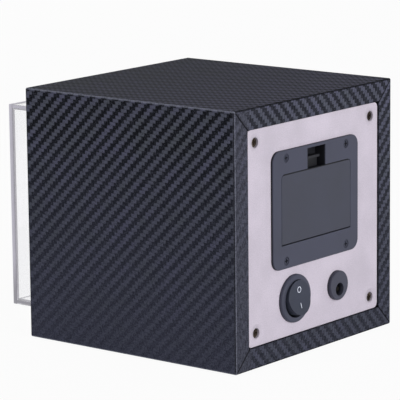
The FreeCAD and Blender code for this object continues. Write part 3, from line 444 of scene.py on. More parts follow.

# %% [markdown]
# The colour is laid on in layers. First come the two sets of strands, a little cloudy, with painted shade
# where they dive. On the top, which is seen at a low angle, the slate strands get a painted sheen that grows
# towards the back, and painted shade lies in the hollow between two crests of the weave.
# Then come painted light and streaks: towards the foot the weave goes to one slate tone, a painted reflection
# of the floor, the right rear rim is streaked grey, long edges get a painted highlight, and the folds round
# the openings get black painted shade. Specks and the dark line of the mitres are last.

# %% Leatherette colours
across_box, through_box, above_floor = leather.axes(leather.place())
speck = leather.noise(leather.place(), 1700.0, 4.0, 0.65)
cloud = leather.noise(leather.place(), 90.0, 3.0)
patch = leather.ranged(cloud, 0.3, 0.7)
# Near-black painted shade, for where the strands dive and for the hollows on the top.
painted_shade_black = tone(10, 11, 15)
black_strand = leather.tint(patch, tone(9, 11, 17), tone(15, 17, 25))
# Painted reflection: one set of the black strands gets a slate tone for the light its relief catches.
painted_reflection_strand = leather.tint(patch, tone(84, 88, 98), tone(92, 93, 115))
on_top = leather.ranged(above_floor, 0.1195, 0.1205)
# Painted sheen: on the top, seen at a low angle, the slate strands go paler and lilac towards the back.
painted_top_sheen = leather.maths("MULTIPLY", on_top, leather.ranged(through_box, -0.06, 0.06, 0.0, 0.44))
painted_reflection_strand = leather.tint(painted_top_sheen, painted_reflection_strand, tone(128, 126, 160))
banded = leather.tint(girth_strand, painted_reflection_strand, black_strand)
# Painted shade where the strands dive under each other.
shaded = leather.tint(leather.ranged(height, 0.0, 0.7, 0.34, 0.0), banded, painted_shade_black)
# Painted shade on the top, in the hollow between two crests of the weave, which leaves the crests lit.
diagonal = leather.maths("ADD", along_depth, round_girth)
crest = leather.maths("SINE", leather.maths("MULTIPLY", diagonal, math.pi))
painted_crest_shade = leather.maths("MULTIPLY", on_top, leather.ranged(crest, -1.0, 1.0, 0.0, 0.55))
shaded = leather.tint(painted_crest_shade, shaded, painted_shade_black)
print("nodes in the weave", len(leather.tree.nodes))

# %% Leatherette painted light, streaks and specks
on_rear_rim = leather.ranged(through_box, 0.0605, 0.0615)
right_rim = (0.049, 0.052)
# Painted reflection of the white floor: towards the foot the weave goes to one slate tone, darker on the rear
# rim and weaker there, except at the rim's right end.
reflection_spared = leather.maths("MULTIPLY", on_rear_rim, leather.ranged(across_box, *right_rim, 0.4, 0.0))
floor_reflection_share = leather.ranged(above_floor, 0.0, 0.104, 0.86, 0.0)
floor_reflection_share = leather.maths("MULTIPLY", floor_reflection_share, leather.maths("SUBTRACT", 1.0, reflection_spared))
floor_reflection_tone = leather.tint(on_rear_rim, tone(64, 66, 82), tone(40, 43, 55))
shaded = leather.tint(floor_reflection_share, shaded, floor_reflection_tone)

# The rear rim is streaked grey, a little over most of it and strongly on its right end.
streak_share = leather.maths("MULTIPLY", on_rear_rim, leather.ranged(across_box, *right_rim, 0.22, 0.66))
streak = leather.noise(leather.place((1.0, 1.0, 0.22)), 1500.0, 3.0, 0.6)
streaked = leather.tint(leather.ranged(streak, 0.35, 0.65), tone(50, 51, 61), tone(89, 90, 103))
shaded = leather.tint(streak_share, shaded, streaked)

# Painted highlight on the round of the long edges, and painted shade in the folds and inner walls, as the
# edge attribute gives them.
edge_round = leather.node("ShaderNodeAttribute", {}, output="Fac", attribute_name="edge")
painted_edge_highlight = leather.maths("MULTIPLY", edge_round, leather.ranged(speck, 0.3, 0.6, 0.4, 0.8))
shaded = leather.tint(leather.maths("MAXIMUM", painted_edge_highlight, 0.0), shaded, tone(146, 149, 166))
painted_edge_shade = leather.maths("MINIMUM", leather.maths("MULTIPLY", edge_round, -1.5), 0.92)
shaded = leather.tint(leather.maths("MAXIMUM", painted_edge_shade, 0.0), shaded, tone(7, 8, 11))

shaded = leather.tint(leather.ranged(speck, 0.5, 0.62, 0.0, 0.3), shaded, tone(96, 98, 112))
shaded = leather.tint(leather.ranged(speck, 0.38, 0.5, 0.45, 0.0), shaded, tone(12, 13, 18))
seam_far = leather.node("ShaderNodeAttribute", {}, output="Fac", attribute_name="mitre")
seam = leather.ranged(seam_far, 0.25, 0.7, 1.0, 0.0, smooth=True)
leather.set("Base Color", leather.tint(leather.maths("MULTIPLY", seam, 0.85), shaded, tone(6, 6, 8)))
leather.set("Roughness", leather.ranged(speck, 0.3, 0.7, 0.68, 0.84))
leather.set("Specular IOR Level", 0.06)
weave_relief = leather.relief(height, 0.0001)
speck_relief = leather.relief(speck, 0.00002, weave_relief)
leather.relief(leather.maths("SUBTRACT", 1.0, seam), 0.00025, speck_relief)
print("nodes with the wear", len(leather.tree.nodes))

# %% Leatherette skin
skin, skin_merged = add_piece("leatherette_skin", skin_points, skin_faces, leather, "case",
                              flat_map=skin_map / strand + weave_start)
into_opening = np.minimum(skin_map[:, 0], run[-1] - skin_map[:, 0])
rear_wall = depth_half - 2 * fold_radius - rear_end
inner_wall = rear_wall + 1.4 * fold_radius
# Inside the openings the skin takes full painted shade, as on its folds.
signed = np.where(into_opening < inner_wall, -1.0, skin_round).astype(np.float32)
far_values = np.full(len(skin.data.vertices), no_mitre, np.float32)
np.minimum.at(far_values, skin_merged, skin_mitre.astype(np.float32))
round_values = np.zeros(len(skin.data.vertices), np.float32)
np.add.at(round_values, skin_merged, np.where(np.abs(signed) > 0.01, signed, 0.0))
round_values = np.clip(round_values, -1.0, 1.0)
skin.data.attributes.new("mitre", "FLOAT", "POINT").data.foreach_set("value", far_values)
skin.data.attributes.new("edge", "FLOAT", "POINT").data.foreach_set("value", round_values)
thickness = skin.modifiers.new("thickness", "SOLIDIFY")
thickness.thickness = 0.45 * mm
thickness.offset = -1.0
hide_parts("leatherette_wrap")
print("leatherette covers", round(sum(face.area for face in skin.data.polygons) * 1e4), "square cm")

# %% [markdown]
# The rear panel is a board covered in pale suede. Suede has no pattern, only a nap: short fibres that lie a
# little differently from place to place and catch light softly at a low angle. So the finish is a fine noise
# for the nap, a broad one for the brushed patches, and a sheen. Where the four screws draw the cloth down it
# dips, which is a distance from the nearest screw: folding the panel over both middles leaves one to measure.

# %% Suede
def suede(name, light, dark, screws=None):
    """Napped cloth between two tones, with a dip round the screws if their place is given."""
    finish = Finish(name, light, 0.92, Sheen_Weight=0.25, Sheen_Roughness=0.45)
    finish.set("Specular IOR Level", 0.15)
    place = finish.place()
    nap = finish.noise(place, 1900.0, 4.0, 0.7)
    brushed = finish.noise(place, 55.0, 3.0, 0.55)
    share = finish.maths("MULTIPLY_ADD", brushed, 0.35, finish.maths("MULTIPLY", nap, 0.65))
    colour = finish.tint(finish.ranged(share, 0.4, 0.6), dark, light)
    bump = finish.relief(nap, 0.00007)
    if screws is not None:
        x, _, z = finish.axes(place)
        from_x = finish.maths("SUBTRACT", finish.maths("ABSOLUTE", x), screws[0] * mm)
        raised = finish.maths("SUBTRACT", z, case_middle * mm)
        from_z = finish.maths("SUBTRACT", finish.maths("ABSOLUTE", raised), screws[1] * mm)
        square = finish.maths("MULTIPLY_ADD", from_x, from_x, finish.maths("MULTIPLY", from_z, from_z))
        away = finish.maths("SQRT", square)
        dip = finish.ranged(away, 1.8 * mm, 4.6 * mm, 0.0, 1.0, smooth=True)
        finish.relief(dip, 0.0009, bump)
        pressed = finish.ranged(away, 1.9 * mm, 3.4 * mm, 0.35, 0.0, smooth=True)
        colour = finish.tint(pressed, colour, tone(120, 112, 122))
    finish.set("Base Color", colour)
    return finish


panel_screws = (44.8, 43.8)
finishes["suede_board"] = suede("suede_board", tone(218, 209, 223), tone(200, 192, 205), panel_screws)
finishes["pillow_suede"] = suede("pillow_suede", tone(204, 196, 208), tone(186, 178, 191))
print("panel screws fold onto", panel_screws, "mm from the middle")

# %% [markdown]
# The tray, its lid, the switch and the socket are moulded in slate-grey plastic. The moulds were
# spark-eroded, so the skin is a fine even grain that takes the shine off, and handling polishes it in
# patches. The pieces come from different moulds, so each gets a slightly different grey and grain.
# Their narrow recesses, and their sides where they stand on the panel, look almost black, more than the
# lamps' shade alone makes them here, so painted shade darkens the colour with the depth behind the face. The
# groove over the lid is too fine for that, so a painted shadow darkens the lid's upper edge, by height.

# %% Moulded plastics
def darkened(finish, colour, dusk):
    """The colour with painted shade, going dark from the second depth of dusk in to the first, in mm."""
    _, depth, _ = finish.axes(finish.place())
    return finish.tint(finish.ranged(depth, dusk[0] * mm, dusk[1] * mm, 0.9, 0.0), colour, tone(10, 10, 13))


def moulded(name, light, dark, grain_per_metre, grain_depth, shine, dusk=None):
    """Grained plastic: two close tones, a cell-like grain and a roughness that wanders round a middle value.

    With dusk, a pair of depths in mm, painted shade darkens the plastic from the second depth in to the
    first."""
    finish = Finish(name, tone(*light), shine)
    place = finish.place()
    grain = finish.cells(place, grain_per_metre, "SMOOTH_F1")
    patch = finish.noise(place, 70.0, 3.0)
    fine = finish.noise(place, grain_per_metre * 1.7, 2.0)
    colour = finish.tint(finish.ranged(patch, 0.3, 0.7), tone(*dark), tone(*light))
    finish.set("Base Color", colour if dusk is None else darkened(finish, colour, dusk))
    finish.set("Roughness", finish.ranged(patch, 0.3, 0.7, shine - 0.05, shine + 0.06))
    finish.set("Specular IOR Level", 0.25)
    finish.relief(fine, grain_depth * 0.4, finish.relief(grain, grain_depth))
    return finish


# The last pair in a line gives the depths of painted shade in the piece's recesses.
plastics = {
    "tray_plastic": ((72, 74, 90), (66, 68, 83), 2400.0, 0.00003, 0.6, (61.5, 62.28)),
    "lid_plastic": ((68, 70, 83), (62, 64, 76), 2400.0, 0.00003, 0.6, (60.6, 62.28)),
    "switch_plastic": ((70, 72, 88), (64, 66, 80), 3000.0, 0.00002, 0.55, (60.6, 61.9)),
    "rocker_plastic": ((56, 60, 75), (50, 54, 67), 3000.0, 0.00002, 0.55, (61.5, 63.6)),
    "jack_plastic": ((70, 71, 86), (64, 65, 79), 2800.0, 0.00002, 0.55, (60.8, 62.4)),
    "cup_plastic": ((38, 38, 42), (30, 30, 34), 1800.0, 0.00002, 0.42),
    "gearbox_plastic": ((58, 60, 66), (50, 52, 58), 2000.0, 0.00003, 0.5),
    "header_plastic": ((226, 222, 208), (212, 207, 192), 2600.0, 0.00002, 0.45),
    "gear_nylon": ((232, 230, 220), (218, 215, 203), 1500.0, 0.00001, 0.35),
    "chip": ((34, 34, 36), (27, 27, 29), 3600.0, 0.00002, 0.6),
}
for name, settings in plastics.items():
    finishes[name] = moulded(name, *settings)
finishes["gear_nylon"].set("Subsurface Weight", 0.15)
finishes["gear_nylon"].set("Subsurface Scale", 0.001)
print("moulded finishes", len(plastics))

# %% Groove over the lid
lid = finishes["lid_plastic"]
lid_top = 87.0 * mm
lid_colour = lid.surface.inputs["Base Color"].links[0].from_socket
_, _, lid_level = lid.axes(lid.place())
# Painted shadow of the groove over the lid, on the lid's upper edge and kept off the latch above it.
near_top = lid.ranged(lid_level, lid_top - 0.5 * mm, lid_top - 0.25 * mm, 0.0, 0.9)
below_latch = lid.ranged(lid_level, lid_top + 0.02 * mm, lid_top + 0.04 * mm, 1.0, 0.0)
lid.set("Base Color", lid.tint(lid.maths("MULTIPLY", near_top, below_latch), lid_colour, tone(14, 15, 21)))
print("the lid's groove lies", round(lid_top / mm, 1), "mm over the floor")

# %% [markdown]
# The cover is clear acrylic. Its faces are nearly invisible, with a trace of haze from polishing. The cut
# edges are what draws its outline: the saw leaves them slightly frosted, and they gather light from all of
# the pane, so they look an even lilac grey, and greyer near the foot. Glue makes the five panes one clear
# body, so they become one shell: where two clear bodies only touch, a ray bounces between their skins and
# ends up black. Rays that wander along a pane end up black too, so the edges get a thin film of their own
# with a painted glow that stands for the light gathered in the pane. The joint behind the front pane, which
# is a pale hazy line on a real cover, gets such a glowing film too. The ends of the top and bottom panes look
# frosted over a part of their thickness only, so the film is narrower there.

# %% Acrylic
light_bend = 1.49
acrylic = Finish("acrylic", (1.0, 1.0, 1.0), 0.02, Transmission_Weight=1.0, IOR=light_bend)
haze = acrylic.noise(acrylic.place((1.0, 1.0, 0.25)), 160.0, 4.0, 0.6)
acrylic.set("Base Color", acrylic.tint(haze, tone(255, 255, 255), tone(252, 252, 254)))
acrylic.set("Roughness", acrylic.ranged(haze, 0.45, 0.75, 0.01, 0.05))
acrylic.set("Specular Tint", (0.6, 0.6, 0.61))
finishes["acrylic"] = acrylic
print("bare acrylic gives back", round(100 * ((light_bend - 1) / (light_bend + 1)) ** 2, 1), "% at each face")

# %% Clear shell
front_low, front_high = (np.array(corner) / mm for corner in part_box("cover_front_pane"))
side_low, side_high = (np.array(corner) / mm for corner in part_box("cover_top_pane"))
cover_half = tuple(((front_high - front_low) / 2)[[0, 2]])
pane = side_high[2] - side_low[2]
cover_front, cover_joint, cover_back = front_low[1], front_high[1], side_high[1]
bevel = 0.25
middle_row = 20.0
shut = min(cover_half)
shell_profile = np.array([(cover_back, 0.0), (cover_back, pane), (cover_joint, pane),
                          (cover_joint, middle_row), (cover_joint, shut), (cover_front, shut),
                          (cover_front, middle_row), (cover_front, bevel), (cover_front + bevel, 0.0),
                          (cover_joint, 0.0), (cover_back, 0.0)])


def round_cover(name, profile, finish):
    """A piece of the cover: (depth, inset) points carried round its rectangle.

    Where the inset is half of the rectangle, its upper and lower sides meet in one line, and the faces
    between two such lines are left out, because they would be a wall of no thickness inside the pane."""
    points, faces, _, _, _ = carried_round(profile, np.zeros(len(profile)), cover_half, 0.0, spread)
    faces = faces[np.abs(points[faces][..., 2]).max(1) > 0.0]
    points[:, 2] += case_middle
    return add_piece(name, points, faces, finish, "front_cover", sharp=20.0)[0]


outer_skin = round_cover("clear_cover", shell_profile, acrylic)
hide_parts("cover_front_pane", "cover_top_pane", "cover_bottom_pane", "cover_left_pane",
            "cover_right_pane")
print("cover", np.round(2 * np.array(cover_half), 1).tolist(), "mm, panes", round(float(pane), 2), "mm")

# %% Finishes of the cut edges and the joint
# The cut edges' film has a painted glow for the light gathered along the pane, and goes darker towards the
# foot.
cut_edge = Finish("acrylic_cut_edge", tone(160, 157, 170), 0.4, Emission_Strength=0.25)
cut_edge.set("Emission Color", tone(238, 235, 246))
saw_lines = cut_edge.noise(cut_edge.place((0.2, 3.0, 0.2)), 700.0, 3.0, 0.6)
cut_cloud = cut_edge.noise(cut_edge.place(), 60.0, 2.0)
cut_tone = cut_edge.tint(cut_cloud, tone(150, 147, 161), tone(178, 175, 189))
_, _, edge_level = cut_edge.axes(cut_edge.place())
greyed = cut_edge.ranged(edge_level, 0.018, 0.034, 0.85, 0.0)
cut_edge.set("Base Color", cut_edge.tint(greyed, cut_tone, tone(40, 41, 46)))
cut_edge.set("Roughness", cut_edge.ranged(saw_lines, 0.3, 0.7, 0.3, 0.5))
cut_edge.relief(saw_lines, 0.00001)

# The glued joint is a pale hazy line, and its film has a painted glow on top of that colour.
glued_joint = Finish("acrylic_joint", tone(190, 187, 197), 0.4, Emission_Strength=0.34)
glued_joint.set("Emission Color", tone(244, 243, 248))
glue_cloud = glued_joint.noise(glued_joint.place(), 60.0, 2.0)
glued_joint.set("Base Color", glued_joint.tint(glue_cloud, tone(178, 175, 186), tone(202, 199, 209)))
print("films", cut_edge.material.name, glued_joint.material.name)

# %% Films on the cover
hair = 0.02


def as_film(piece, thickness, side=1.0):
    """Gives a sheet the thickness of a film in mm, on the side its faces point to, or behind them with -1."""
    film = piece.modifiers.new("film", "SOLIDIFY")
    film.thickness = thickness * mm
    film.offset = side


edge_line = np.array([(cover_front + bevel, -hair), (cover_joint, -hair)])
as_film(round_cover("front_pane_edge", edge_line, cut_edge), 2 * hair)
joint = cover_joint + 0.05
joint_margin = 0.1
joint_line = np.array([(joint, joint_margin), (joint, pane - joint_margin)])
as_film(round_cover("front_pane_joint", joint_line, glued_joint), 2 * hair)
strip_rows, strip_columns = 12, 4
for name, sign, low, high in (("upper", 1.0, -0.1, 0.5), ("lower", -1.0, -0.25, 0.25)):
    pane_middle = case_middle + sign * (cover_half[1] - pane / 2)
    heights = pane_middle + pane * np.linspace(low, high, strip_columns)
    depths = np.linspace(cover_joint, cover_back, strip_rows)
    strip_y, strip_z = np.meshgrid(depths, heights, indexing="ij")
    for hand, side in (("left", -1.0), ("right", 1.0)):
        strip_x = 0 * strip_y + side * (cover_half[0] + hair)
        strip = np.stack([strip_x, strip_y, strip_z], -1).reshape(-1, 3)
        quads = grid_faces(strip_rows, strip_columns)[:, ::int(side)]
        strip_name = "_".join((name, hand, "pane_edge"))
        as_film(add_piece(strip_name, strip, quads, cut_edge, "front_cover")[0], 2 * hair)

# %% [markdown]
# Inside the front, everything is lined with black velvet: strips round the opening and a board with the round
# hole. Velvet looks blackest face on and paler where the pile turns away, so it is mostly sheen. The strips
# are a soft pile, so their front edge rolls over, and they are carried round the opening as the skin was.
# The felt under the box is looser, with a speckled wool colour and a rounded cut edge.

# %% Velvet
def pile(name, base, lit, per_metre, depth, sheen):
    """Short pile: dark at its roots, paler at the tips, with a broad shading where it has been stroked."""
    finish = Finish(name, base, 0.95, Sheen_Weight=sheen, Sheen_Roughness=0.35)
    finish.set("Specular IOR Level", 0.1)
    place = finish.place()
    tips = finish.noise(place, per_metre, 3.0, 0.6)
    stroked = finish.noise(place, 45.0, 3.0, 0.5)
    shading = finish.ranged(stroked, 0.25, 0.75, 0.5, 1.0)
    share = finish.maths("MULTIPLY", finish.ranged(tips, 0.3, 0.7), shading)
    finish.set("Base Color", finish.tint(share, base, lit))
    finish.relief(tips, depth)
    return finish


finishes["velvet"] = pile("velvet", tone(16, 16, 19), tone(38, 38, 44), 2600.0, 0.0001, 0.35)
finishes["velvet_board"] = pile("velvet_board", tone(18, 18, 21), tone(42, 42, 48), 2600.0, 0.0001, 0.35)
finishes["felt"] = pile("felt", tone(28, 28, 31), tone(66, 66, 70), 1500.0, 0.00025, 0.2)

pile_depth = 0.88
behind_pile = rim + 0.02
strip_top = behind_pile + pile_depth
strip_front, strip_flat, strip_back = -60.5, -58.5, -48.05
roll_over = quarter((strip_front + pile_depth, behind_pile), pile_depth, 180, 90, 6)
strip_rest = np.array([[strip_flat, strip_top], [strip_back, strip_top], [strip_back, behind_pile],
                       [strip_front, behind_pile]])
lining_profile = np.concatenate([roll_over, strip_rest])
lining_run = length_along(lining_profile)
lining_points, lining_faces, _, _, _ = carried_round(lining_profile, lining_run, case_half, 0.0, spread)
lining_points[:, 2] += case_middle
lining, _ = add_piece("velvet_strips", lining_points, lining_faces[:, ::-1], finishes["velvet"], "case")
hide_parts("velvet_lining")
print("velvet strips are", round(strip_back - strip_front, 1), "mm deep")


# %% Felt sheet
def rounded_outline(half_across, half_along, corner, steps=8):
    """Closed outline of a rectangle with quarter-round corners."""
    angle = np.linspace(0, math.pi / 2, steps + 1)
    turns = (np.arange(4)[:, None] * math.pi / 2 + angle[None, :]).ravel()
    sign_x = np.repeat([1, -1, -1, 1], steps + 1)
    sign_y = np.repeat([1, 1, -1, -1], steps + 1)
    return np.stack([sign_x * (half_across - corner) + corner * np.cos(turns),
                     sign_y * (half_along - corner) + corner * np.sin(turns)], -1)


felt_half = (55.0, 56.0)
felt_corner = 3.0
felt_levels = np.array([(0.0, felt_half[0]), (0.0, 20.0), (0.0, 0.5), (0.08, 0.2), (0.25, 0.0), (0.55, 0.0),
                        (0.72, 0.2), (0.8, 0.5), (0.8, 20.0), (0.8, felt_half[0])])
felt_outline = rounded_outline(*felt_half, felt_corner)
felt_scale = np.maximum(1.0 - felt_levels[:, 1:] / felt_half[0], 0.0)
felt_plan = felt_outline[None] * felt_scale[:, None, :]
felt_height = np.broadcast_to(felt_levels[:, :1], felt_plan.shape[:2])
felt_points = np.concatenate([felt_plan, felt_height[..., None]], -1).reshape(-1, 3)
felt_faces = grid_faces(len(felt_levels), len(felt_outline), close_columns=True)
felt, _ = add_piece("felt_sheet", felt_points, felt_faces[:, ::-1], finishes["felt"], "case")
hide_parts("base_felt")

# %% [markdown]
# The watch pillow is a stuffed cushion that a closed strap goes round. It starts as a slightly small rounded
# block, which already has crowned faces and tight corners, and is blown up as cloth: pressure pushes the
# cover out until its own stretch holds it. On a cushion as small and tight as this one, that is a fraction of
# a millimetre, so most of the form is the block's own. The result is then stretched to the pillow's size.
# The seams that close both ends are pressed in afterwards, with the small puckers that thread makes.

# %% Rounded block
def rounded_block(rows, columns, roundness_along, roundness_across):
    """A block from -1 to 1: a superellipse across, shrunk by another along, closed by two poles."""
    rise = np.linspace(-math.pi / 2, math.pi / 2, rows)[:, None]
    turn = np.linspace(0, 2 * math.pi, columns, endpoint=False)[None, :]
    length = np.sign(np.sin(rise)) * np.abs(np.sin(rise)) ** roundness_along
    fullness = np.abs(np.cos(rise)) ** roundness_along
    fullness[[0, -1]] = 0.0
    first = fullness * np.sign(np.cos(turn)) * np.abs(np.cos(turn)) ** roundness_across
    second = fullness * np.sign(np.sin(turn)) * np.abs(np.sin(turn)) ** roundness_across
    return np.stack([length + 0 * turn, first, second], -1).reshape(-1, 3)


pillow_low, pillow_high = (np.array(corner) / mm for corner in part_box("watch_pillow"))
pillow_middle = (pillow_low + pillow_high) / 2
pillow_half = (pillow_high - pillow_low) / 2
block_rows, block_columns = 33, 64
block = rounded_block(block_rows, block_columns, 0.32, 0.5)
print("pillow", np.round(2 * pillow_half, 1).tolist(), "mm")


# %% Stuffing the pillow
def evaluated_mesh(piece):
    """A new mesh from the piece with its modifiers worked out."""
    scene_graph = bpy.context.evaluated_depsgraph_get()
    return bpy.data.meshes.new_from_object(piece.evaluated_get(scene_graph))


def mesh_points(mesh):
    """All points of a mesh as one array."""
    flat = np.zeros(3 * len(mesh.vertices))
    mesh.vertices.foreach_get("co", flat)
    return flat.reshape(-1, 3)


def blown_up(mesh, cap, frames=20):
    """Swells a closed mesh as cloth under pressure, and lets no point move further than the cap."""
    case = new_object("stuffing", mesh)
    cloth = case.modifiers.new("cover", "CLOTH")
    cloth.settings.use_pressure = True
    cloth.settings.uniform_pressure_force = 4.0
    cloth.settings.mass = 0.02
    cloth.settings.effector_weights.gravity = 0.0
    cloth.collision_settings.use_collision = False
    cloth.point_cache.frame_end = frames
    start = mesh_points(mesh)
    for number in range(1, frames + 1):
        bpy.context.scene.frame_set(number)
    swollen = mesh_points(evaluated_mesh(case))
    bpy.context.scene.frame_set(1)
    bpy.data.objects.remove(case)
    shift = swollen - start
    length = np.linalg.norm(shift, axis=1, keepdims=True)
    return start + shift * np.minimum(1.0, cap / np.maximum(length, 1e-9))


slack = (0.97, 0.93, 0.93)
most_swelling = 5.0 * mm
lump = bpy.data.meshes.new("lump")
lump.from_pydata(((block * slack * pillow_half + pillow_middle) * mm).tolist(), [],
                 grid_faces(block_rows, block_columns, close_columns=True).tolist())
lump.validate()
lump_object = new_object("lump", lump)
remesh = lump_object.modifiers.new("even", "REMESH")
remesh.mode = "VOXEL"
remesh.voxel_size = 1.6 * mm
cushion_mesh = evaluated_mesh(lump_object)
bpy.data.objects.remove(lump_object)
cover_points = mesh_points(cushion_mesh)
cover_points = blown_up(cushion_mesh.copy(), most_swelling)
moved = np.linalg.norm(cover_points - mesh_points(cushion_mesh), axis=1)
print("cover points", len(cover_points), "moved at most", round(float(moved.max() / mm), 2), "mm")


# %% Seams of the pillow
def fitted(points, middle, half):
    """Points moved and stretched so that their box is the given one."""
    low, high = points.min(0), points.max(0)
    return (points - (low + high) / 2) / ((high - low) / 2) * half + middle


cover_gap = 0.15
seam_place = 24.5
seam_width = 1.3
pinch_depth = 1.15
puckers = 34
pucker_depth = 0.28
pucker_spread = 2.6
cover = fitted(cover_points / mm, pillow_middle, pillow_half - cover_gap) - pillow_middle
round_angle = np.arctan2(cover[:, 2] / pillow_half[2], cover[:, 1] / pillow_half[1])
beside_seam = (np.abs(cover[:, 0]) - seam_place) / seam_width
pinch = pinch_depth * np.exp(-beside_seam ** 2)
pucker = pucker_depth * np.sin(puckers * round_angle) * np.exp(-(beside_seam / pucker_spread) ** 2)
radial = np.stack([0 * round_angle, cover[:, 1], cover[:, 2]], -1)
radial /= np.maximum(np.linalg.norm(radial, axis=1, keepdims=True), 1e-6)
cover -= radial * (pinch + pucker + pucker_depth)[:, None]
cushion_mesh.vertices.foreach_set("co", ((cover + pillow_middle) * mm).astype(np.float32).ravel())
cushion_mesh.update()
cushion_mesh.name = "stuffed_pillow"
cushion_mesh.polygons.foreach_set("use_smooth", np.ones(len(cushion_mesh.polygons), bool))
cushion_mesh.materials.clear()
cushion_mesh.materials.append(finishes["pillow_suede"].material)
cushion = new_object("stuffed_pillow", cushion_mesh)
smooth = cushion.modifiers.new("smooth", "SUBSURF")
smooth.levels = 1
smooth.render_levels = 1
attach(cushion, "pillow")
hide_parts("watch_pillow")
print("pillow faces", len(cushion_mesh.polygons))

# %% [markdown]
# A round piping of darker suede covers each seam. It has to lie on the pillow as the stuffing left it, so its
# height is measured there: the cover's points beside the seam are sorted into slices round the axis, and the
# mean distance of a slice, evened out a little with its neighbours, is where the piping runs.

# %% Piping on the seams
piping_finish = suede("piping_suede", tone(176, 168, 181), tone(150, 143, 156))
piping_radius = 0.8
piping_lift = 0.5
piping_sides = 10
seam_band = 1.6
slices = 72
slice_angle = (np.arange(slices) + 0.5) / slices * 2 * math.pi - math.pi
piping_turn = np.linspace(0, 2 * math.pi, piping_sides, endpoint=False)[None, :]
slice_line = np.stack([pillow_half[1] * np.cos(slice_angle), pillow_half[2] * np.sin(slice_angle)], -1)
slice_out = (slice_line / np.linalg.norm(slice_line, axis=1, keepdims=True))[:, None, :]
for name, sign in (("left", -1.0), ("right", 1.0)):
    near = np.abs(sign * cover[:, 0] - seam_place) < seam_band
    slice_of = ((round_angle[near] + math.pi) / (2 * math.pi) * slices).astype(int) % slices
    reach = np.linalg.norm(cover[near, 1:], axis=1)
    filled = np.bincount(slice_of, minlength=slices)
    reach = np.bincount(slice_of, weights=reach, minlength=slices) / np.maximum(filled, 1)
    reach = np.interp(slice_angle, slice_angle[filled > 0], reach[filled > 0], period=2 * math.pi)
    reach = (np.roll(reach, 1) + 2 * reach + np.roll(reach, -1)) / 4
    from_axis = reach[:, None] + piping_lift + piping_radius * np.cos(piping_turn)
    piping_x = sign * (seam_place + piping_radius * np.sin(piping_turn)) + 0 * from_axis
    piping_points = np.stack([piping_x, from_axis * slice_out[..., 0], from_axis * slice_out[..., 1]], -1)
    piping_points = (piping_points + pillow_middle).reshape(-1, 3)
    piping_faces = grid_faces(slices + 1, piping_sides, close_columns=True) % (slices * piping_sides)
    piping_faces = piping_faces[:, ::int(sign)]
    add_piece("pillow_piping_" + name, piping_points, piping_faces, piping_finish, "pillow")

# %% [markdown]
# Two foam cheeks in the cup hold the ends of the pillow. Cut foam keeps its flat sides, with soft edges and a
# surface of burst bubbles. Each cheek is the rounded block again, bent so that one side follows the cup.

# %% Foam cheeks
foam = Finish("grip_foam", tone(46, 46, 50), 0.95)
foam_place = foam.place()
bubbles = foam.cells(foam_place, 1300.0)
fine_bubbles = foam.cells(foam_place, 3100.0)
burst = foam.maths("MULTIPLY_ADD", fine_bubbles, 0.4, bubbles)
foam.set("Base Color", foam.tint(foam.ranged(burst, 0.1, 0.8), tone(26, 26, 29), tone(62, 62, 67)))
foam.set("Specular IOR Level", 0.15)
foam.relief(burst, 0.0004)
finishes["grip_foam"] = foam

cheek_rows, cheek_columns = 25, 64
cheek_inner = 31.5
cheek_half_height = 19.8
cheek_half_depth = 14.8
cheek_middle = -26.5
cup_inside = 39.7
cheek = rounded_block(cheek_rows, cheek_columns, 0.22, 0.3)
cheek_z = cheek_half_height * cheek[:, 2]
cheek_outer = np.sqrt(cup_inside ** 2 - cheek_z ** 2)
cheek_x = cheek_inner + (cheek[:, 1] + 1) / 2 * (cheek_outer - cheek_inner)
cheek_y = cheek_middle + cheek_half_depth * cheek[:, 0]
for name, sign in (("left", -1.0), ("right", 1.0)):
    cheek_points = np.stack([sign * cheek_x, cheek_y, case_middle + cheek_z], -1)
    cheek_faces = grid_faces(cheek_rows, cheek_columns, close_columns=True)[:, ::int(sign)]
    grip, _ = add_piece("foam_cheek_" + name, cheek_points, cheek_faces, foam, "rotor")
    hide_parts("pillow_grip_" + name)

# %% [markdown]
# The rocker carries two printed marks, a ring for off and a bar for on. Ink is a film that follows the dished
# face, so both marks are worked out on that face: its height grows with the distance from the fold, and the
# whole rocker then leans nine degrees on its pivot, with the ring's half pressed in.

# %% Printed marks
pivot = np.array([16.2, 60.2, 28.0])
face_rise = 4.2
dish = math.tan(math.radians(6.0))
lean = math.radians(9.0)


def on_rocker(x, z, lift=0.05):
    """Points on the rocker's face from places across and up it, leaned about the pivot."""
    y = face_rise + np.abs(z) * dish + lift
    return np.stack([pivot[0] + x, pivot[1] + y * math.cos(lean) - z * math.sin(lean),
                     pivot[2] + y * math.sin(lean) + z * math.cos(lean)], -1).reshape(-1, 3)


ink = Finish("white_ink", tone(236, 236, 238), 0.55)
worn = ink.noise(ink.place(), 5200.0, 3.0)
ink.set("Base Color", ink.tint(ink.ranged(worn, 0.5, 0.75), tone(232, 237, 252), tone(176, 181, 198)))

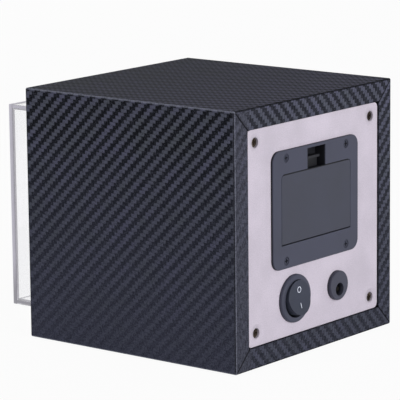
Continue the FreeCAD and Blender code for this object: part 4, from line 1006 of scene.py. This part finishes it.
ink_depth = 0.1
ring_middle = 3.7
ring_radius = np.array([[1.1], [1.2], [1.35], [1.45]])
ring_columns = 48
ring_turn = np.linspace(0, 2 * math.pi, ring_columns, endpoint=False)[None, :]
ring_points = on_rocker(ring_radius * np.cos(ring_turn), ring_middle + ring_radius * np.sin(ring_turn))
ring_faces = grid_faces(len(ring_radius), ring_columns, close_columns=True)
bar_half_width = 0.2
bar_ends = (-5.0, -2.5)
bar_rows, bar_columns = 12, 4
bar_across = np.linspace(-bar_half_width, bar_half_width, bar_columns)
bar_x, bar_z = np.meshgrid(bar_across, np.linspace(*bar_ends, bar_rows))
bar_points = on_rocker(bar_x, bar_z)
bar_faces = grid_faces(bar_rows, bar_columns)[:, ::-1]
for name, points, quads in (("ring", ring_points, ring_faces), ("bar", bar_points, bar_faces)):
    mark, _ = add_piece("rocker_mark_" + name, points, quads, ink, "rocker")
    as_film(mark, ink_depth, -1.0)

# %% [markdown]
# The works are hidden in use, but they show when a reader takes the box apart, so they get real finishes too.
# Turned and stamped metal has fine lines along the way it was worked, which roughen it unevenly. Painted
# shade darkens the slots of the tray's screws with depth, as in the recesses of the plastics. Fibreboard is
# pressed fibre: flecks of lighter and darker wood with no grain direction. The circuit board is green lacquer
# over a grid of copper tracks, which stand out a little, and the wires' soft sleeves are dulled in patches.

# %% Metals
def worked_metal(name, light, dark, roughness, scale, dusk=None):
    """Metal with fine tool lines, a noise stretched along one direction, and painted shade in its slots with
    dusk.
    """
    finish = Finish(name, tone(*light), roughness, Metallic=1.0)
    lines = finish.noise(finish.place(scale), 2200.0, 3.0, 0.6)
    stains = finish.noise(finish.place(), 180.0, 3.0)
    colour = finish.tint(finish.ranged(stains, 0.35, 0.7), tone(*dark), tone(*light))
    finish.set("Base Color", colour if dusk is None else darkened(finish, colour, dusk))
    finish.set("Roughness", finish.ranged(lines, 0.3, 0.7, roughness - 0.08, roughness + 0.12))
    finish.relief(lines, 0.000008)
    return finish


turned = (1.0, 0.05, 1.0)
metals = {
    "steel": ((198, 198, 200), (172, 172, 176), 0.3, turned),
    "black_steel": ((58, 60, 73), (44, 46, 57), 0.5, turned),
    # The tray's screws have painted shade in their slots.
    "tray_screw_steel": ((74, 76, 91), (60, 62, 75), 0.5, turned, (61.9, 62.1)),
    "bronzed_steel": ((88, 76, 66), (52, 45, 41), 0.42, turned),
    "motor_steel": ((176, 178, 180), (150, 152, 156), 0.34, (0.05, 1.0, 1.0)),
    "brass": ((214, 178, 98), (186, 148, 76), 0.3, turned),
    "dull_brass": ((32, 30, 26), (20, 19, 17), 0.55, turned),
    "aluminium": ((206, 207, 209), (184, 185, 188), 0.36, (1.0, 0.05, 0.05)),
}
for name, settings in metals.items():
    finishes[name] = worked_metal(name, *settings)
print("metals", len(metals))

# %% Board and circuit
wood = Finish("fibreboard", tone(168, 136, 98), 0.85)
flecks = wood.noise(wood.place((1.0, 0.35, 1.0)), 900.0, 5.0, 0.7)
clouds = wood.noise(wood.place(), 40.0, 3.0)
fleck_share = wood.maths("MULTIPLY_ADD", clouds, 0.3, wood.maths("MULTIPLY", flecks, 0.7))
fleck_share = wood.ranged(fleck_share, 0.35, 0.65)
wood.set("Base Color", wood.tint(fleck_share, tone(136, 104, 70), tone(186, 156, 116)))
wood.relief(flecks, 0.00008)
finishes["fibreboard"] = wood

circuit = Finish("circuit", tone(26, 84, 52), 0.3)
track_grid = {"Vector": circuit.place(), "Scale": 320.0, "Mortar Size": 0.06}
tracks = circuit.node("ShaderNodeTexBrick", track_grid, output="Fac")
weave = circuit.noise(circuit.place(), 1500.0)
mask_green = circuit.tint(weave, tone(20, 74, 45), tone(30, 92, 58))
circuit.set("Base Color", circuit.tint(circuit.maths("MULTIPLY", tracks, 0.5), mask_green, tone(64, 132, 84)))
circuit.relief(tracks, 0.00003)
finishes["circuit"] = circuit
print("nodes in the fibreboard", len(wood.tree.nodes), "and in the circuit", len(circuit.tree.nodes))


# %% Wires
def sleeve(name, light, dark):
    """Soft plastic sleeving on a wire, dulled unevenly by handling."""
    finish = Finish(name, light, 0.45)
    dull = finish.noise(finish.place(), 500.0, 3.0)
    finish.set("Base Color", finish.tint(finish.ranged(dull, 0.35, 0.7), dark, light))
    finish.set("Roughness", finish.ranged(dull, 0.3, 0.7, 0.38, 0.55))
    finish.relief(dull, 0.00002)
    return finish


finishes["wire"] = sleeve("wire_black", tone(40, 40, 43), tone(28, 28, 31))
finishes["wire_red"] = sleeve("wire_red", tone(168, 36, 34), tone(138, 26, 26))
print("finishes made", len(finishes))

# %% [markdown]
# Every solid that keeps its own mesh arrives with a plain material named after its slot in the record.
# Swapping each for the finish of the same name dresses them all at once, and a slot without a finish would
# stop here. A few solids differ from others of their slot, such as the red wires, and get a finish of their
# own.

# %% Dress the solids
own_finish = {"motor_wires": "wire_red", "jack_pin": "dull_brass", "battery_lid": "lid_plastic",
              "switch_rocker": "rocker_plastic", "tray_screws": "tray_screw_steel"}
shown = {name: solid for name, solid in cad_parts.items() if not solid.hide_render}
for name, solid in shown.items():
    surface = solid.material_slots[0]
    surface.material = finishes[own_finish.get(name, surface.material.name)].material
print("dressed", len(shown), "solids, replaced", len(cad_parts) - len(shown))

# %% [markdown]
